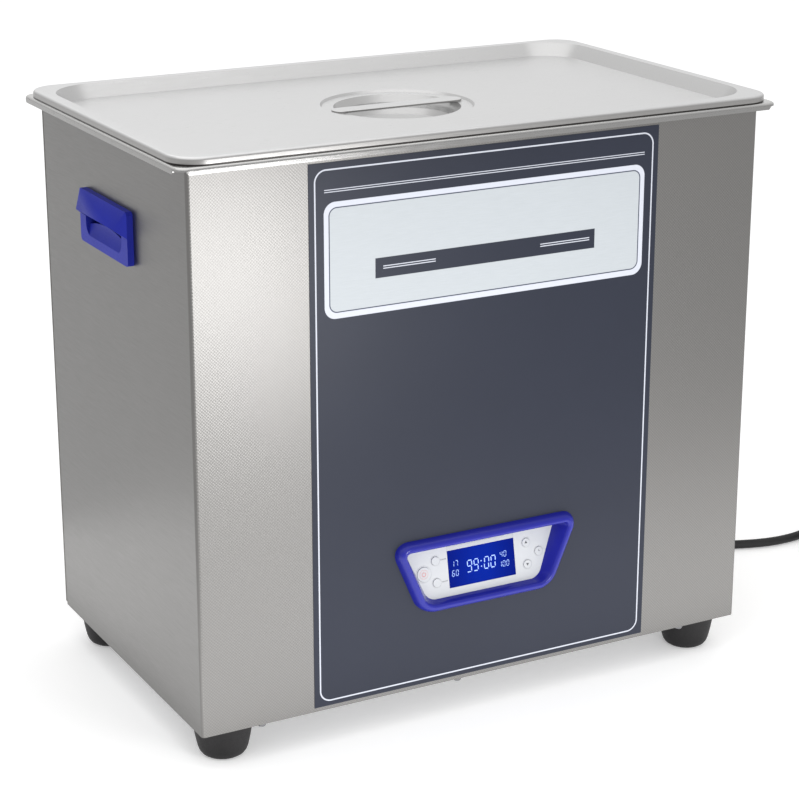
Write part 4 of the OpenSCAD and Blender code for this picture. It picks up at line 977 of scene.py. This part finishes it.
def display_numbers():
    """The minutes in the middle, with smaller settings on the left and right."""
    bm = bmesh.new()
    add_numbers(bm, LARGE_NUMBERS, LARGE_DIGIT)
    for y in COLON_Y:
        add_bar(bm, COLON_X * MM, y * MM, COLON_SIZE * MM, COLON_SIZE * MM)
    add_numbers(bm, SMALL_NUMBERS, SMALL_DIGIT)
    print_piece(bm, "display_numbers", "cabinet", "print_white", ON_FASCIA)


display_numbers()


# Signs on the fascia and the keys: inner and outer radii of rings, and other sizes, in metres

POWER_RING = (7.05 * MM, 7.2 * MM)
KEY_RING = (4.2 * MM, 4.36 * MM)
WORDS_SIZE = 1.5 * MM
WORDS_RIGHT = 4.8 * MM
WORDS_DROP = 0.5 * MM
POWER_ARC = (1.5 * MM, 1.9 * MM, math.radians(120), math.radians(300), 30)
POWER_BAR = (0, 1.6 * MM, 0.4 * MM, 1.9 * MM)
POWER_EDGE = (3.7 * MM, 3.85 * MM)
ARROW_R = 1.5 * MM
# The corners of a clock's two hands, in millimetres
CLOCK_HANDS = [(-0.18, -0.18), (1.38, -0.18), (1.38, 0.18), (0.18, 0.18), (0.18, 1.58), (-0.18, 1.58)]


def on_key(x, y):
    return ON_FASCIA @ Matrix.Translation((x, y - KEYS_LOW, KEY_TOP))


def fascia_rings():
    """Printed rings round the keys."""
    bm = bmesh.new()
    add_arc(bm, -KEY_OUT_X, -KEYS_LOW, *POWER_RING)
    for x in (-KEY_IN_X, KEY_IN_X):
        for y in (-KEY_Y, KEY_Y):
            add_arc(bm, x, y - KEYS_LOW, *KEY_RING)
    add_arc(bm, KEY_OUT_X, -KEYS_LOW, *KEY_RING)
    print_piece(bm, "fascia_rings", "cabinet", "print_grey", ON_FASCIA)


def switch_words():
    """Plain words beside the two keys that switch a thing on and off."""
    bm = bmesh.new()
    for y in (-KEY_Y, KEY_Y):
        add_words(bm, "ON/OFF", -KEY_IN_X + WORDS_RIGHT, y - KEYS_LOW - WORDS_DROP, WORDS_SIZE)
    print_piece(bm, "switch_words", "cabinet", "print_dark", ON_FASCIA)


def key_signs():
    """A power sign, two arrows and a clock's hands, each on its own key."""
    bm = bmesh.new()
    add_arc(bm, 0, 0, *POWER_ARC)
    add_bar(bm, *POWER_BAR)
    add_arc(bm, 0, 0, *POWER_EDGE)
    print_piece(bm, "power_sign", "key_power", "print_red", on_key(-KEY_OUT_X, 0))
    for name, y, turn in (("up", KEY_Y, 0), ("down", -KEY_Y, -math.pi)):
        bm = bmesh.new()
        turned = Matrix.Rotation(turn, 4, "Z")
        bmesh.ops.create_circle(bm, cap_ends=True, segments=3, radius=ARROW_R, matrix=turned)
        print_piece(bm, name + "_sign", "key_" + name, "print_dark", on_key(KEY_IN_X, y))
    bm = bmesh.new()
    bm.faces.new([bm.verts.new((x * MM, y * MM, 0)) for x, y in CLOCK_HANDS])
    print_piece(bm, "set_sign", "key_set", "print_dark", on_key(KEY_OUT_X, 0))


fascia_rings()
switch_words()
key_signs()


# Marks on the mains rocker: on below, where it is pressed in, and off above

ROCKER_X = -98 * MM
ROCKER_Z = 95.2 * MM
ROCKER_TILT = math.radians(8)
ROCKER_FALL = math.atan2(2.4, 12)
MARK_UP = 6 * MM
MARK_OUT = 3.8 * MM
ON_BAR = (0.8 * MM, 4 * MM)
OFF_RING = (1.4 * MM, 2.1 * MM)


def rocker_marks():
    middle = ON_REAR @ Matrix.Translation((ROCKER_X, ROCKER_Z, 0)) @ Matrix.Rotation(ROCKER_TILT, 4, "X")
    for name, side in (("on_mark", -1), ("off_mark", 1)):
        bm = bmesh.new()
        if side < 0:
            add_bar(bm, 0, 0, *ON_BAR)
        else:
            add_arc(bm, 0, 0, *OFF_RING)
        fall = Matrix.Rotation(side * ROCKER_FALL, 4, "X")
        seat = Matrix.Translation((0, side * MARK_UP, MARK_OUT)) @ fall
        print_piece(bm, name, "mains_rocker", "white_plastic", middle @ seat)


rocker_marks()


# Crosses for the recesses in the screw heads

CROSS_L = 4.4 * MM
CROSS_W = 1.0 * MM
REAR_HEAD_MOST = 12 * MM


def screw_crosses(node):
    """One cross to a screw, on a head at the rear or under a head below."""
    bm = bmesh.new()
    for low, high in islands(node):
        middle = (low + high) / 2
        spot = bmesh.new()
        add_bar(spot, 0, 0, CROSS_L, CROSS_W)
        add_bar(spot, 0, 0, CROSS_W, CROSS_L)
        thicken_print(spot)
        if high.z - low.z < REAR_HEAD_MOST and high.y > REAR_Y:
            place = Matrix.Translation((middle.x, high.y, middle.z)) @ Matrix.Rotation(-math.pi / 2, 4, "X")
        else:
            place = Matrix.Translation((middle.x, middle.y, low.z)) @ Matrix.Rotation(math.pi, 4, "X")
        spot.transform(place)
        mesh = bpy.data.meshes.new("spot")
        spot.to_mesh(mesh)
        spot.free()
        bm.from_mesh(mesh)
        bpy.data.meshes.remove(mesh)
    finish_piece(bm, node + "_crosses", "cabinet", "base_steel")


for node in ("cabinet_screws", "fan_screws"):
    screw_crosses(node)


# Floor and light

FLOOR_HALF = 14
FLOOR_WHITE = (0.9, 0.9, 0.9)
FLOOR_TONES = ((0.895, 0.895, 0.895), (0.905, 0.905, 0.905))
FLOOR_GLOW = 0.30
BACKDROP_LIT = 0.8
BACKDROP_SEEN = 1.1
# Each light's place, target, width, height and power; the cards lie on the floor and shine up, for the
# light that it throws on the foot of the walls
LIGHTS = {
    "overhead": ((-0.6, -0.5, 2.0), (-0.2, -0.1, 0), 3.0, 3.0, 15.5),
    "wash": ((0.2, 3.2, 2.9), (0.2, 3.2, 0), 3.0, 2.0, 10),
    "front_key": ((0.025, -0.8, 0.235), (-0.2, -0.15, 0.32), 0.25, 0.225, 2.15),
    "front_card": ((0.1, -0.36, 0.003), (0.1, -0.36, 1), 1.2, 0.34, 1.4),
    "left_card": ((-0.46, 0.0, 0.003), (-0.46, 0.0, 1), 0.34, 0.8, 0.55),
}


def studio_floor():
    bm = bmesh.new()
    bmesh.ops.create_grid(bm, x_segments=1, y_segments=1, size=FLOOR_HALF)
    mesh = bpy.data.meshes.new("floor")
    bm.to_mesh(mesh)
    bm.free()
    floor = new_object("floor", mesh)
    material, tree, shader = new_material("floor_white", FLOOR_WHITE, 0.7, specular=0.2)
    shader.inputs["Emission Color"].default_value = (1, 1, 1, 1)
    shader.inputs["Emission Strength"].default_value = FLOOR_GLOW
    tone = use_group(tree, mottle, Scale=2).outputs["Tone"]
    tree.links.new(mix_colour(tree, tone, *FLOOR_TONES), shader.inputs["Base Color"])
    mesh.materials.append(material)


def softbox(name, at, target, width, height, power):
    data = bpy.data.lights.new(name, "AREA")
    data.shape = "RECTANGLE"
    data.size = width
    data.size_y = height
    data.energy = power
    box = new_object(name, data)
    aim(box, at, target)
    box.visible_camera = False


def studio_light():
    world = bpy.data.worlds.new("studio")
    scene.world = world
    world.use_nodes = True
    backdrop = world.node_tree.nodes["Background"]
    backdrop.inputs["Color"].default_value = (1, 1, 1, 1)
    # Seen directly, the backdrop is as white as the floor, so no horizon shows
    seen = add(world.node_tree, "ShaderNodeLightPath").outputs["Is Camera Ray"]
    strength = remap(world.node_tree, seen, 0, 1, BACKDROP_LIT, BACKDROP_SEEN)
    world.node_tree.links.new(strength, backdrop.inputs["Strength"])
    for name, settings in LIGHTS.items():
        softbox(name, *settings)


studio_floor()
studio_light()

bpy.context.view_layer.update()
